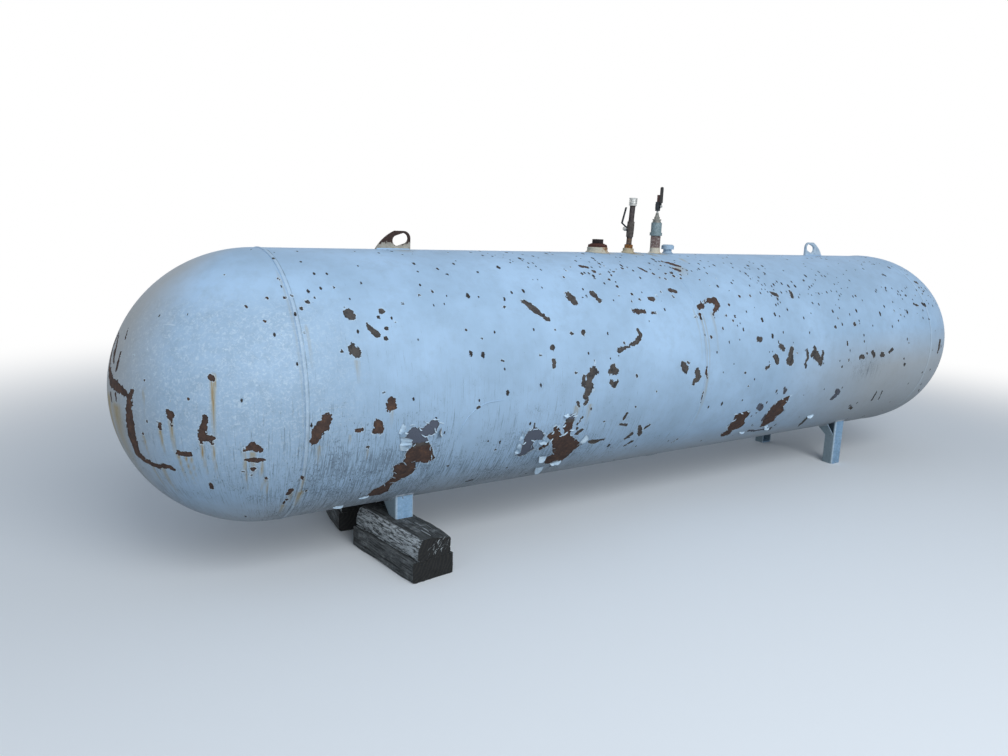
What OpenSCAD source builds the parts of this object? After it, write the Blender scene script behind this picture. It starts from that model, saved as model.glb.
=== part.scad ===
// Horizontal pressure tank: two rolled shell courses, two hemispherical heads, four short welded
// legs, two lifting lugs and the fittings along the top. Each left leg stands on two stacked timbers.
// Origin: on the floor under the middle of the tank. X runs along the tank, Y to its rear, Z up.

/* [Vessel] */
// Outside diameter of the shell and of its hemispherical heads
vessel_d = 1041.4; // [900:0.1:1200]
// Length between the two lines where the heads' domes begin
straight_l = 3800; // [3300:10:5000]
// Wall of the rolled shell courses
shell_wall = 6.8; // [5:0.1:9]
// Wall of the pressed heads
head_wall = 5; // [4:0.1:7]
// Length over which a head's edge is pressed inwards
joggle_l = 16; // [12:1:24]
// Length of the head's edge that lies inside the shell
lip_l = 30; // [20:1:60]
// Gap between curved plates that seat on each other
seat_gap = 0.3; // [0.2:0.1:0.6]

/* [Welds] */
// Radius of the round top of a girth weld bead
bead_r = 7; // [6:0.5:9]
// Height of a girth weld bead above the shell
bead_crown = 2.4; // [1.5:0.1:3.5]
// Root gap between the two shell courses
root_gap = 2; // [1:0.5:4]
// Angle of the bevel on each course at the middle weld
bevel_angle = 30; // [20:1:40]
// Leg length of the fillet weld round each coupling
fillet = 8; // [4:0.5:10]
// Height of the long seam bead above each course
seam_crown = 2; // [1:0.5:3]
// Angle of the left course's long seam, measured from the top towards the rear
seam_left_angle = 62; // [30:1:80]
// Angle of the right course's long seam, measured from the top towards the rear
seam_right_angle = 38; // [25:1:80]

/* [Legs] */
// Distance of the left legs from the middle of the tank
leg_left_x = 1410; // [1200:1:1480]
// Distance of the right legs from the middle of the tank
leg_right_x = 1442; // [1200:1:1480]
// Distance of a leg's front plate from the tank's centre plane
leg_y = 287; // [240:1:330]
// Width of a leg along the tank
leg_w = 80; // [60:1:120]
// Thickness of the bent plate that a leg is made of
leg_t = 7; // [5:0.5:10]
// Outside radius of a leg's two upright bends
leg_bend_r = 12; // [10:1:16]
// Depth of a leg's side flanges where they meet the shell
leg_depth_top = 115; // [100:1:150]
// Depth of a leg's side flanges at the foot
leg_depth_foot = 64; // [58:1:90]
// Height of the left legs' feet below the shell's lowest line
foot_drop = 13; // [10:1:60]
// Diameter of the anchor hole in each foot
foot_hole_d = 22; // [14:1:26]
// Width of the gap beside the front plate in the right legs' flanges, at the shell
gap_w = 58; // [40:1:70]

/* [Timbers] */
// Length of a timber from the middle of the foot to its outer end
timber_out = 268; // [150:1:400]
// Length of a timber from the middle of the foot to its inner end
timber_in = 190; // [100:1:195]
// Distance of the timbers' middle from the foot's, away from the middle of the tank
timber_shift = 22; // [0:1:24]
// Height of the upper timber
upper_h = 83; // [60:1:120]
// Width of the upper timber
upper_w = 152; // [150:1:200]
// Turn of the upper timber, its outer end towards the middle of the tank
upper_turn = 8; // [0:0.5:9]
// Width of the split-off edge along the upper timber's outer side
split_w = 21; // [10:1:26]
// Height of the split-off edge
split_h = 40; // [20:1:50]
// Height of the lower timber
lower_h = 83; // [60:1:120]
// Width of the lower timber
lower_w = 185; // [170:1:260]
// Turn of the lower timber, its outer end towards the middle of the tank
lower_turn = 7; // [0:0.5:9]

/* [Lifting lugs] */
// Distance of the left lug's eye from the middle of the tank
lug_left_x = 1308; // [1100:1:1500]
// Distance of the right lug's eye from the middle of the tank
lug_right_x = 1367; // [1100:1:1500]
// Thickness of a lug
lug_t = 12; // [8:1:16]
// Width of the plate round the eye
lug_band = 9; // [7:0.5:12]
// Height of the eye's middle above the shell
eye_z = 40; // [36:1:50]
// Height of the eye
eye_h = 43; // [38:1:46]
// Width of the eye
eye_w = 73; // [60:1:78]
// Tilt of the eye, up towards the middle of the tank
eye_tilt = 18; // [0:1:22]
// Length of the lug's flat top past the middle of its eye
lug_flat = 24; // [16:1:34]
// Length of the lug from its eye to its outer end on the shell
lug_tail = 110; // [100:1:130]
// Radius of the lug's curved outer edge
lug_edge_r = 200; // [150:5:400]

/* [Plugged coupling] */
// Position of the plugged coupling along the tank
plug_x = -259; // [-400:1:-180]
// Outside diameter of the plugged coupling
plug_d = 99; // [80:1:110]
// Height of the plugged coupling above the shell
plug_h = 25; // [20:1:50]
// Bore of the plugged coupling
plug_bore = 74; // [56:1:76]
// Width across the flats of the hexagon bushing in it
plug_hex = 86; // [78:1:88]
// Height of that bushing's hexagon
plug_hex_h = 12; // [8:1:16]
// Height of the sloping shoulder on top of the hexagon
plug_shoulder_h = 5; // [3:0.5:8]
// Bore of that bushing
plug_inner = 48; // [40:1:52]
// Side of the square head of the plug
plug_square = 40; // [34:1:46]
// Height of the square head
plug_square_h = 20; // [16:1:30]
// Turn of the square head
plug_turn = 25; // [0:1:90]

/* [Riser] */
// Position of the riser along the tank
riser_x = -62; // [-120:1:-40]
// Lean of the riser towards the right end
riser_lean = 3; // [0:0.5:4]
// Outside diameter of the riser's pipe
pipe_d = 26.7; // [24:0.1:28]
// Bore of the riser's pipe
pipe_bore = 20.9; // [16:0.1:22]
// Depth to which a pipe enters a threaded socket
pipe_entry = 13; // [9:1:15]
// Gap between the threads of a screwed joint
thread_gap = 0.2; // [0.1:0.1:0.4]
// Outside diameter of the riser's coupling
riser_d = 54; // [48:1:60]
// Height of that coupling above the shell
riser_h = 22; // [18:1:40]
// Bore of that coupling
riser_bore = 40; // [36:1:44]
// Width across the flats of the riser's bushing
riser_hex = 38; // [36:1:46]
// Height of the riser's bushing above the coupling
riser_hex_h = 18; // [12:1:24]
// Bare length of the lower nipple
lower_nipple_l = 37; // [20:1:60]
// Bare length of the upper nipple
upper_nipple_l = 77; // [68:1:120]

/* [Ball valve] */
// Length of the valve body
valve_l = 75; // [66:1:90]
// Diameter of the valve body's barrel
valve_d = 36; // [34:1:40]
// Width across the flats of the valve body's ends
valve_hex = 32; // [31:1:36]
// Length of each hexagon end
valve_hex_l = 17; // [15:1:20]
// Diameter of the boss that carries the valve's stem
boss_d = 20; // [16:1:24]
// Distance of the boss's face from the valve's centre line
boss_reach = 25; // [22:1:28]
// Diameter of the valve's stem
stem_d = 8; // [6:0.5:10]
// Gap all round the stem in its bore
stem_gap = 0.06; // [0.02:0.01:0.1]
// Gap between the boss and the lever
lever_gap = 6; // [5:0.5:8]
// Thickness of the lever
lever_t = 3; // [2.5:0.5:4]
// Width of the lever
lever_w = 11; // [9:1:14]
// Width of the lever's foot round the stem
lever_foot_w = 17; // [15:1:20]
// Length of the lever from its stem to its tip
lever_l = 102; // [80:1:110]
// Distance that the lever's knee stands out from the stem end
knee_out = 26; // [10:1:32]
// Height of the lever's knee above the stem
knee_up = 26; // [22:1:36]
// Distance that the lever's tip stands out from the stem end
tip_out = 9; // [0:1:20]
// Width across the flats of the lever's nut
nut_af = 16; // [13:1:17]
// Height of the lever's nut
nut_h = 9; // [6:0.5:12]

/* [Hose coupling] */
// Outside diameter of the hose coupling's sleeve
sleeve_d = 40; // [36:1:50]
// Height of the hose coupling
sleeve_h = 37; // [36:1:60]
// Bore of its open socket
socket_d = 28; // [24:1:30]
// Depth of its open socket
socket_l = 19; // [16:1:20]
// Height of the hexagon under the sleeve
sleeve_hex_h = 11; // [8:1:14]

/* [Relief valve] */
// Position of the relief valve along the tank
relief_x = 118; // [90:1:136]
// Outside diameter of the relief valve's coupling
relief_d = 51; // [48:1:54]
// Height of that coupling above the shell
relief_h = 27; // [20:1:40]
// Bore of that coupling
relief_bore = 36; // [32:1:38]
// Width across the flats of the hexagon inlet
inlet_hex = 45; // [40:1:48]
// Height of the hexagon inlet
inlet_h = 60; // [45:1:70]
// Diameter of the collar at the foot of the spring housing
collar_d = 62; // [56:1:66]
// Height of that collar
collar_h = 16; // [12:1:20]
// Diameter of the spring housing
housing_d = 53; // [47:1:55]
// Height of the spring housing above its collar
housing_h = 49; // [40:1:60]
// Diameter of the rim on top of the spring housing
rim_d = 44; // [38:1:46]
// Height of that rim
rim_h = 17; // [12:1:20]
// Depth of the groove round the middle of that rim
rim_groove = 3; // [2:0.5:4]
// Diameter of the bonnet's neck above the rim
bonnet_neck_d = 28; // [25:1:32]
// Height of that neck
bonnet_neck_h = 12; // [8:1:16]
// Diameter of the bonnet cone at its foot
cone_d = 22; // [20:1:24]
// Height of the bonnet cone
cone_h = 19; // [14:1:30]

/* [Bleed valve] */
// Diameter of the thin pipe under the bleed valve
thin_d = 10; // [8:0.5:12]
// Bare length of that pipe
thin_l = 10; // [8:1:20]
// Depth to which that pipe enters what it joins
thin_entry = 9; // [6:1:11]
// Length of the bleed valve
bleed_l = 45; // [42:1:60]
// Diameter of the bleed valve's barrel
bleed_d = 26; // [24:1:27]
// Width across the flats of its ends
bleed_hex = 22; // [18:1:23]
// Distance of its boss's face from its centre line
bleed_boss = 15; // [14.5:0.5:17]
// Diameter of its stem
bleed_stem_d = 6; // [5:0.5:7]
// Gap between its boss and its lever
bleed_gap = 5; // [5:0.5:8]
// Thickness of its lever
bleed_lever_t = 2.5; // [2:0.5:3]
// Length of its lever from the stem to the tip of the grip
bleed_lever_l = 95; // [80:1:110]
// Width of the grip on its lever
grip_w = 15; // [13:1:18]
// Thickness of that grip
grip_t = 8; // [6:0.5:9]
// Length of that grip
grip_l = 78; // [60:1:80]
// Diameter of the cap on its outlet
bleed_cap_d = 13; // [12:1:15]
// Height of the cap on its outlet
bleed_cap_h = 34; // [24:1:40]

/* [Low cap] */
// Position of the low cap along the tank
cap_x = 207; // [190:1:300]
// Diameter of the neck under the cap
neck_d = 43; // [36:1:48]
// Bore of the neck
neck_bore = 30; // [24:1:32]
// Height of the neck
neck_h = 20; // [14:1:30]
// Diameter of the cap
cap_d = 64; // [58:1:70]
// Height of the cap
cap_h = 24; // [18:1:30]

/* [Hidden] */

// Past-the-face allowance of every cutting solid
cut = 1;
vessel_r = vessel_d / 2;
dome_x = straight_l / 2;
course_end = dome_x - joggle_l;
lip_r = vessel_r - shell_wall - seat_gap;
axis_z = lower_h + upper_h + foot_drop + vessel_r;
top_z = axis_z + vessel_r;
// Height of the shell's underside above the floor at a distance from the centre plane
function shell_z(y) = axis_z - sqrt(pow(vessel_r, 2) - pow(y, 2));
left_foot_z = lower_h + upper_h;
timber_l = timber_out + timber_in;

// Height of the plug's square head above the shell
plug_head_z = plug_h + plug_hex_h + plug_shoulder_h;

// Heights along the riser, measured from the top of the shell
bushing_top = riser_h + riser_hex_h;
valve_z = bushing_top + lower_nipple_l;
stem_z = valve_z + valve_l / 2;
valve_top = valve_z + valve_l;
sleeve_z = valve_top + upper_nipple_l;
socket_hole_d = pipe_d + 2 * thread_gap;
lever_x = boss_reach + lever_gap;
stem_bore_depth = boss_reach - valve_d / 4;
stem_end = lever_x + lever_t + nut_h + 2;

// Heights along the relief valve, measured from the top of the shell
inlet_top = relief_h + inlet_h;
housing_top = inlet_top + collar_h + housing_h;
bonnet_top = housing_top + rim_h + bonnet_neck_h + cone_h;
bleed_z = bonnet_top + thin_l;
bleed_stem_z = bleed_z + bleed_l / 2;
bleed_top = bleed_z + bleed_l;
bleed_lever_y = bleed_boss + bleed_gap;
thin_hole_d = thin_d + 2 * thread_gap;

vessel_fn = 360;
round_fn = 96;
small_fn = 48;

// A hexagon prism given by its width across the flats
module hexagon(af, h) {
    cylinder(d = af / cos(30), h = h, $fn = 6);
}

// A hexagon prism with its corners turned off at the top by a cone
module turned_hexagon(af, h) {
    corner_d = af / cos(30);
    intersection() {
        hexagon(af, h);
        union() {
            cylinder(d = corner_d + cut, h = h - (corner_d - af) / 2, $fn = small_fn);
            translate([0, 0, h - (corner_d - af) / 2])
                cylinder(d1 = corner_d, d2 = af, h = (corner_d - af) / 2, $fn = small_fn);
        }
    }
}

// Turns a profile (radius, distance from the middle of the tank) about the tank's own axis
module about_axis() {
    translate([0, 0, axis_z]) rotate([0, 90, 0]) rotate_extrude($fn = round_fn) children();
}

// The round space that the vessel fills, which everything welded to it is cut back to
module vessel_space() {
    reach = dome_x + vessel_r;
    translate([-reach, 0, axis_z]) rotate([0, 90, 0])
        cylinder(r = vessel_r + seat_gap, h = 2 * reach, $fn = vessel_fn);
}

// Everything inside one line of a head: the dome, the pressed-in slope and the lip
module head_outline(dome_r, lip) {
    translate([0, dome_x]) intersection() {
        circle(r = dome_r, $fn = round_fn);
        square(dome_r + cut);
    }
    polygon([[0, course_end - lip_l], [lip, course_end - lip_l], [lip, course_end],
             [dome_r, dome_x], [0, dome_x]]);
}

// The solid outline of the right shell course, bevelled at the middle weld
module course_outline() {
    polygon([[0, root_gap / 2], [vessel_r - shell_wall, root_gap / 2],
             [vessel_r, root_gap / 2 + shell_wall * tan(bevel_angle)],
             [vessel_r, course_end], [0, course_end]]);
}

module head() {
    color("lightsteelblue") about_axis() difference() {
        head_outline(vessel_r, lip_r);
        head_outline(vessel_r - head_wall, lip_r - head_wall);
    }
}

// A bead along one course, laid over its long seam
module long_seam(angle) {
    first = root_gap / 2 + bead_r;
    translate([first, 0, axis_z]) rotate([-angle, 0, 0])
        translate([0, 0, vessel_r - bead_r + seam_crown]) rotate([0, 90, 0])
            cylinder(r = bead_r, h = course_end - bead_r - first, $fn = small_fn);
}

// The right course with the holes under the fittings that stand on it
module course(seam_angle, holes) {
    color("lightsteelblue") difference() {
        union() {
            about_axis() course_outline();
            long_seam(seam_angle);
        }
        about_axis() translate([0, root_gap / 4]) square([vessel_r - shell_wall, course_end]);
        for (hole = holes)
            translate([hole[0], 0, axis_z + vessel_r / 2]) cylinder(d = hole[1], h = vessel_r, $fn = small_fn);
    }
}

module head_weld() {
    color("lightsteelblue") about_axis() difference() {
        translate([vessel_r + bead_crown - bead_r, course_end + root_gap / 2])
            circle(r = bead_r, $fn = small_fn);
        course_outline();
        head_outline(vessel_r, lip_r);
    }
}

module weld_middle() {
    color("lightsteelblue") about_axis() difference() {
        union() {
            translate([vessel_r + bead_crown - bead_r, 0]) circle(r = bead_r, $fn = small_fn);
            translate([vessel_r - shell_wall, -bead_r]) square([shell_wall, 2 * bead_r]);
        }
        course_outline();
        mirror([0, 1]) course_outline();
        translate([0, -2 * bead_r]) square([vessel_r - shell_wall, 4 * bead_r]);
    }
}

// Cross-section of a leg: a plate with both edges bent back round a generous radius
module leg_section() {
    difference() {
        bent_block(leg_w, leg_depth_top, leg_bend_r);
        translate([0, -leg_t]) bent_block(leg_w - 2 * leg_t, leg_depth_top, leg_bend_r - leg_t);
    }
}

// A block from its front face at 0 back along -Y, with round front corners
module bent_block(w, depth, r) {
    translate([-w / 2, -depth]) square([w, depth - r]);
    translate([-w / 2 + r, -depth]) square([w - 2 * r, depth]);
    for (side = [-1, 1])
        translate([side * (w / 2 - r), -r]) circle(r = r, $fn = small_fn);
}

// Side outline of a leg (distance behind its front plate, height), tapered from the shell to a knee
module leg_side(foot_z) {
    polygon([[0, foot_z], [leg_depth_foot, foot_z], [leg_depth_foot, left_foot_z],
             [leg_depth_top, shell_z(leg_y - leg_depth_top)], [leg_depth_top, axis_z], [0, axis_z]]);
}

// The gap that leaves a sloping strip on a right leg's flange
module flange_gap() {
    polygon([[leg_bend_r, left_foot_z + leg_t], [gap_w, shell_z(leg_y - gap_w)],
             [gap_w, axis_z], [leg_bend_r, axis_z]]);
}

// One leg, standing under the front of the shell at the given foot height
module leg(foot_z, gap) {
    color("lightsteelblue") translate([0, -leg_y, 0]) difference() {
        union() {
            intersection() {
                translate([0, 0, foot_z]) linear_extrude(axis_z - foot_z) mirror([0, 1]) leg_section();
                translate([-leg_w / 2, 0, 0]) rotate([90, 0, 90]) linear_extrude(leg_w) leg_side(foot_z);
            }
            translate([-leg_w / 2 + leg_t, leg_t, foot_z])
                cube([leg_w - 2 * leg_t, leg_depth_foot - leg_t, leg_t]);
        }
        translate([0, leg_y, 0]) vessel_space();
        translate([0, leg_depth_foot / 2 + leg_t / 2, foot_z - cut])
            cylinder(d = foot_hole_d, h = leg_t + 2 * cut, $fn = small_fn);
        if (gap)
            translate([-leg_w / 2 - cut, 0, 0]) rotate([90, 0, 90])
                linear_extrude(leg_w + 2 * cut) flange_gap();
    }
}

module left_leg() {
    translate([-leg_left_x, 0, 0]) leg(left_foot_z, false);
}

module right_leg() {
    translate([leg_right_x, 0, 0]) leg(0, true);
}

// Places a timber under the foot of the left front leg, turned about the middle of that foot
module under_foot(turn) {
    translate([-leg_left_x - timber_shift, leg_depth_foot / 2 - leg_y, 0]) rotate(turn) children();
}

module timber_upper() {
    color("dimgray") under_foot(upper_turn) translate([0, timber_in, lower_h]) rotate([90, 0, 0])
        linear_extrude(timber_l)
            polygon([[-upper_w / 2, 0], [upper_w / 2, 0], [upper_w / 2, upper_h],
                     [-upper_w / 2 + split_w, upper_h], [-upper_w / 2, upper_h - split_h]]);
}

module timber_lower() {
    color("dimgray") under_foot(lower_turn) translate([-lower_w / 2, -timber_out, 0])
        cube([lower_w, timber_l, lower_h]);
}

// The middle of the circle of radius r that passes through two points and bulges to their left
function arc_middle(from, to, r) =
    let (half = (to - from) / 2, rise = sqrt(pow(r, 2) - pow(norm(half), 2)))
    from + half + rise * [half[1], -half[0]] / norm(half);

// The lug's outline about its eye: a round inner end, a flat top and a curved edge down to the shell
module lug_outline() {
    eye_half = (eye_w - eye_h) / 2;
    inner_end = [-eye_half * cos(eye_tilt), eye_half * sin(eye_tilt)];
    round_r = eye_h / 2 + lug_band;
    top = inner_end[1] + round_r;
    inner_side = inner_end[0] - round_r;
    foot = -eye_z - lug_t;
    translate(inner_end) circle(r = round_r, $fn = round_fn);
    intersection() {
        polygon([[inner_side, foot], [lug_tail + lug_t, foot], [lug_tail + lug_t, top],
                 [inner_end[0], top], inner_end, [inner_side, inner_end[1]]]);
        translate(arc_middle([lug_flat, top], [lug_tail, -eye_z], lug_edge_r))
            circle(r = lug_edge_r, $fn = vessel_fn);
    }
}

// The oblong eye of a lug
module eye() {
    half = (eye_w - eye_h) / 2;
    rotate(-eye_tilt) {
        for (side = [-1, 1]) translate([side * half, 0]) circle(d = eye_h, $fn = small_fn);
        translate([-half, -eye_h / 2]) square([2 * half, eye_h]);
    }
}

module lug(eye_x) {
    color("lightsteelblue") difference() {
        translate([eye_x, lug_t / 2, top_z + eye_z]) rotate([90, 0, 0])
            linear_extrude(lug_t) difference() {
                lug_outline();
                eye();
            }
        vessel_space();
    }
}

// Places a fitting on the top line of the shell
module on_top(x, lean = 0) {
    translate([x, 0, top_z]) rotate([0, lean, 0]) children();
}

// A half coupling with its fillet weld, cut to sit on the shell
module half_coupling(x, d, h, bore, lean = 0) {
    foot_r = d / 2 + fillet;
    saddle = vessel_r - sqrt(pow(vessel_r, 2) - pow(foot_r, 2)) + fillet / 2;
    chamfer = d / 40;
    color("lightsteelblue") difference() {
        on_top(x, lean) rotate_extrude($fn = round_fn)
            polygon([[bore / 2, -saddle], [foot_r + saddle, -saddle], [d / 2, fillet],
                     [d / 2, h - chamfer], [d / 2 - chamfer, h], [bore / 2, h]]);
        vessel_space();
    }
}

module plug_bushing() {
    color("sienna") on_top(plug_x) difference() {
        union() {
            translate([0, 0, plug_h]) turned_hexagon(plug_hex, plug_hex_h);
            translate([0, 0, plug_h + plug_hex_h])
                cylinder(d1 = plug_hex - plug_hex_h / 2, d2 = plug_bore - plug_hex_h, h = plug_shoulder_h,
                         $fn = round_fn);
            translate([0, 0, plug_h / 4])
                cylinder(d = plug_bore - 2 * thread_gap, h = plug_h * 3 / 4, $fn = round_fn);
        }
        cylinder(d = plug_inner, h = plug_head_z + cut, $fn = small_fn);
    }
}

module pipe_plug() {
    entry = plug_head_z - plug_h / 2;
    color("dimgray") on_top(plug_x) translate([0, 0, plug_head_z]) {
        rotate(plug_turn) translate([-plug_square / 2, -plug_square / 2, 0])
            cube([plug_square, plug_square, plug_square_h]);
        translate([0, 0, -entry])
            cylinder(d = plug_inner - 2 * thread_gap, h = entry, $fn = small_fn);
    }
}

module riser_bushing() {
    color("sienna") on_top(riser_x, riser_lean) difference() {
        union() {
            translate([0, 0, riser_h]) turned_hexagon(riser_hex, riser_hex_h);
            translate([0, 0, riser_h / 3])
                cylinder(d = riser_bore - 2 * thread_gap, h = riser_h * 2 / 3, $fn = small_fn);
        }
        cylinder(d = pipe_bore, h = bushing_top + cut, $fn = small_fn);
        translate([0, 0, bushing_top - pipe_entry])
            cylinder(d = socket_hole_d, h = pipe_entry + cut, $fn = small_fn);
    }
}

// A pipe nipple with a bare length, entering the pieces at both its ends
module nipple(z, bare_l) {
    color("saddlebrown") on_top(riser_x, riser_lean) translate([0, 0, z - pipe_entry]) difference() {
        cylinder(d = pipe_d, h = bare_l + 2 * pipe_entry, $fn = small_fn);
        translate([0, 0, -cut]) cylinder(d = pipe_bore, h = bare_l + 2 * pipe_entry + 2 * cut, $fn = small_fn);
    }
}

module valve_body() {
    color("saddlebrown") on_top(riser_x, riser_lean) difference() {
        union() {
            translate([0, 0, valve_z]) hexagon(valve_hex, valve_hex_l);
            translate([0, 0, valve_top - valve_hex_l]) hexagon(valve_hex, valve_hex_l);
            translate([0, 0, valve_z + valve_hex_l])
                cylinder(d = valve_d, h = valve_l - 2 * valve_hex_l, $fn = small_fn);
            translate([0, 0, stem_z]) rotate([0, -90, 0])
                cylinder(d = boss_d, h = boss_reach, $fn = small_fn);
        }
        for (z = [valve_z - cut, valve_top - pipe_entry])
            translate([0, 0, z]) cylinder(d = socket_hole_d, h = pipe_entry + cut, $fn = small_fn);
        translate([-boss_reach - cut, 0, stem_z]) rotate([0, 90, 0])
            cylinder(d = stem_d + 2 * stem_gap, h = stem_bore_depth + cut, $fn = small_fn);
    }
}

module valve_stem() {
    inner_x = boss_reach - stem_bore_depth + 2 * seat_gap;
    color("silver") on_top(riser_x, riser_lean) translate([-inner_x, 0, stem_z]) rotate([0, -90, 0])
        cylinder(d = stem_d, h = stem_end - inner_x, $fn = small_fn);
}

// A strip of even thickness along a line of points, round at every point
module strip(points, t) {
    for (i = [0 : len(points) - 2]) {
        step = points[i + 1] - points[i];
        translate(points[i]) rotate(atan2(step[1], step[0])) translate([0, -t / 2])
            square([norm(step), t]);
    }
    for (p = points) translate(p) circle(d = t, $fn = small_fn);
}

// The lever, a bent strip of even thickness on a wider foot that reaches past its nut
module valve_lever() {
    plate_x = lever_x + lever_t / 2;
    foot_top = nut_af / 2 + lever_t;
    foot = [[-plate_x, -lever_foot_w / 2], [-plate_x, foot_top]];
    line = [[-plate_x, foot_top], [-plate_x - knee_out, knee_up], [-plate_x - tip_out, lever_l]];
    color("gray") on_top(riser_x, riser_lean) translate([0, 0, stem_z]) difference() {
        union() {
            translate([0, lever_foot_w / 2, 0]) rotate([90, 0, 0]) linear_extrude(lever_foot_w)
                strip(foot, lever_t);
            translate([0, lever_w / 2, 0]) rotate([90, 0, 0]) linear_extrude(lever_w) strip(line, lever_t);
        }
        translate([-lever_x - lever_t - cut, 0, 0]) rotate([0, 90, 0])
            cylinder(d = stem_d + 2 * thread_gap, h = lever_t + 2 * cut, $fn = small_fn);
    }
}

module lever_nut() {
    color("silver") on_top(riser_x, riser_lean) translate([-lever_x - lever_t, 0, stem_z])
        rotate([0, -90, 0]) difference() {
            rotate(30) hexagon(nut_af, nut_h);
            translate([0, 0, -cut])
                cylinder(d = stem_d + 2 * thread_gap, h = nut_h + 2 * cut, $fn = small_fn);
        }
}

module hose_coupling() {
    ring_h = (sleeve_h - sleeve_hex_h) / 5;
    color("silver") on_top(riser_x, riser_lean) translate([0, 0, sleeve_z]) difference() {
        union() {
            hexagon(sleeve_d * cos(30), sleeve_hex_h);
            translate([0, 0, sleeve_hex_h])
                cylinder(d = sleeve_d - ring_h / 2, h = 5 * ring_h, $fn = small_fn);
            for (i = [0, 2, 4]) translate([0, 0, sleeve_hex_h + i * ring_h])
                cylinder(d = sleeve_d, h = ring_h, $fn = small_fn);
        }
        translate([0, 0, sleeve_h - socket_l]) cylinder(d = socket_d, h = socket_l + cut, $fn = small_fn);
        translate([0, 0, -cut]) cylinder(d = socket_hole_d, h = pipe_entry + cut, $fn = small_fn);
        cylinder(d = pipe_bore, h = sleeve_h, $fn = small_fn);
    }
}

module relief_inlet() {
    color("rosybrown") on_top(relief_x) {
        translate([0, 0, relief_h]) turned_hexagon(inlet_hex, inlet_h);
        translate([0, 0, relief_h / 3])
            cylinder(d = relief_bore - 2 * thread_gap, h = relief_h * 2 / 3, $fn = small_fn);
    }
}

module relief_housing() {
    color("slategray") on_top(relief_x) translate([0, 0, inlet_top]) {
        cylinder(d = collar_d, h = collar_h, $fn = small_fn);
        translate([0, 0, collar_h]) cylinder(d = housing_d, h = housing_h, $fn = small_fn);
    }
}

// The bonnet, turned in one piece: a grooved rim, a neck and a cone that takes the thin pipe
module relief_bonnet() {
    neck_z = rim_h + bonnet_neck_h;
    rim_r = rim_d / 2;
    color("silver") on_top(relief_x) translate([0, 0, housing_top]) difference() {
        rotate_extrude($fn = small_fn)
            polygon([[0, 0], [rim_r, 0], [rim_r, rim_h / 3], [rim_r - rim_groove, rim_h / 3],
                     [rim_r - rim_groove, rim_h * 2 / 3], [rim_r, rim_h * 2 / 3], [rim_r, rim_h],
                     [bonnet_neck_d / 2, rim_h], [bonnet_neck_d / 2, neck_z], [cone_d / 2, neck_z],
                     [thin_d / 2 + 2, neck_z + cone_h], [0, neck_z + cone_h]]);
        translate([0, 0, bonnet_top - housing_top - thin_entry])
            cylinder(d = thin_hole_d, h = thin_entry + cut, $fn = small_fn);
    }
}

module bleed_pipe() {
    color("whitesmoke") on_top(relief_x) translate([0, 0, bonnet_top - thin_entry])
        cylinder(d = thin_d, h = thin_l + 2 * thin_entry, $fn = small_fn);
}

module bleed_valve() {
    end_l = bleed_l / 4;
    color("darkslategray") on_top(relief_x) difference() {
        union() {
            translate([0, 0, bleed_z]) hexagon(bleed_hex, bleed_l);
            translate([0, 0, bleed_z + end_l]) cylinder(d = bleed_d, h = bleed_l - 2 * end_l, $fn = small_fn);
            translate([0, 0, bleed_stem_z]) rotate([90, 0, 0])
                cylinder(d = 2 * bleed_stem_d, h = bleed_boss, $fn = small_fn);
        }
        translate([0, 0, bleed_z - cut]) cylinder(d = thin_hole_d, h = thin_entry + cut, $fn = small_fn);
        translate([0, 0, bleed_top - thin_entry])
            cylinder(d = thin_hole_d, h = thin_entry + cut, $fn = small_fn);
        translate([0, 0, bleed_stem_z]) rotate([90, 0, 0]) translate([0, 0, bleed_stem_d])
            cylinder(d = bleed_stem_d + 2 * stem_gap, h = bleed_boss, $fn = small_fn);
    }
}

module bleed_stem() {
    head_h = bleed_stem_d / 2;
    color("silver") on_top(relief_x) translate([0, 0, bleed_stem_z]) rotate([90, 0, 0]) {
        translate([0, 0, bleed_stem_d + 2 * seat_gap])
            cylinder(d = bleed_stem_d, h = bleed_lever_y + bleed_lever_t - bleed_stem_d, $fn = small_fn);
        translate([0, 0, bleed_lever_y + bleed_lever_t + 2 * seat_gap])
            hexagon(2 * bleed_stem_d, head_h);
    }
}

// Front outline of the bleed valve's lever: a round end about the stem and a straight strip
module bleed_lever() {
    strip_half = grip_w / 4;
    color("gray") on_top(relief_x) translate([0, -bleed_lever_y, bleed_stem_z]) rotate([90, 0, 0])
        linear_extrude(bleed_lever_t) difference() {
            union() {
                circle(d = 2.2 * bleed_stem_d, $fn = small_fn);
                translate([-strip_half, 0]) square([2 * strip_half, bleed_lever_l - grip_w / 2]);
            }
            circle(d = bleed_stem_d + 2 * thread_gap, $fn = small_fn);
        }
}

// The sleeve pushed over the lever, round at its tip
module bleed_grip() {
    strip_half = grip_w / 4;
    middle_y = bleed_lever_y + bleed_lever_t / 2;
    foot = bleed_lever_l - grip_l;
    color("black") on_top(relief_x) translate([0, -middle_y, bleed_stem_z]) difference() {
        translate([0, grip_t / 2, 0]) rotate([90, 0, 0]) linear_extrude(grip_t) {
            translate([-grip_w / 2, foot]) square([grip_w, grip_l - grip_w / 2]);
            translate([0, bleed_lever_l - grip_w / 2]) circle(d = grip_w, $fn = small_fn);
        }
        translate([-strip_half - thread_gap, -bleed_lever_t / 2 - thread_gap, 0])
            cube([2 * (strip_half + thread_gap), bleed_lever_t + 2 * thread_gap,
                  bleed_lever_l - grip_w / 2 + thread_gap]);
    }
}

module bleed_cap() {
    color("firebrick") on_top(relief_x) {
        translate([0, 0, bleed_top - thin_entry]) cylinder(d = thin_d, h = thin_entry, $fn = small_fn);
        translate([0, 0, bleed_top]) cylinder(d = bleed_cap_d, h = bleed_cap_h, $fn = small_fn);
    }
}

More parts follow.
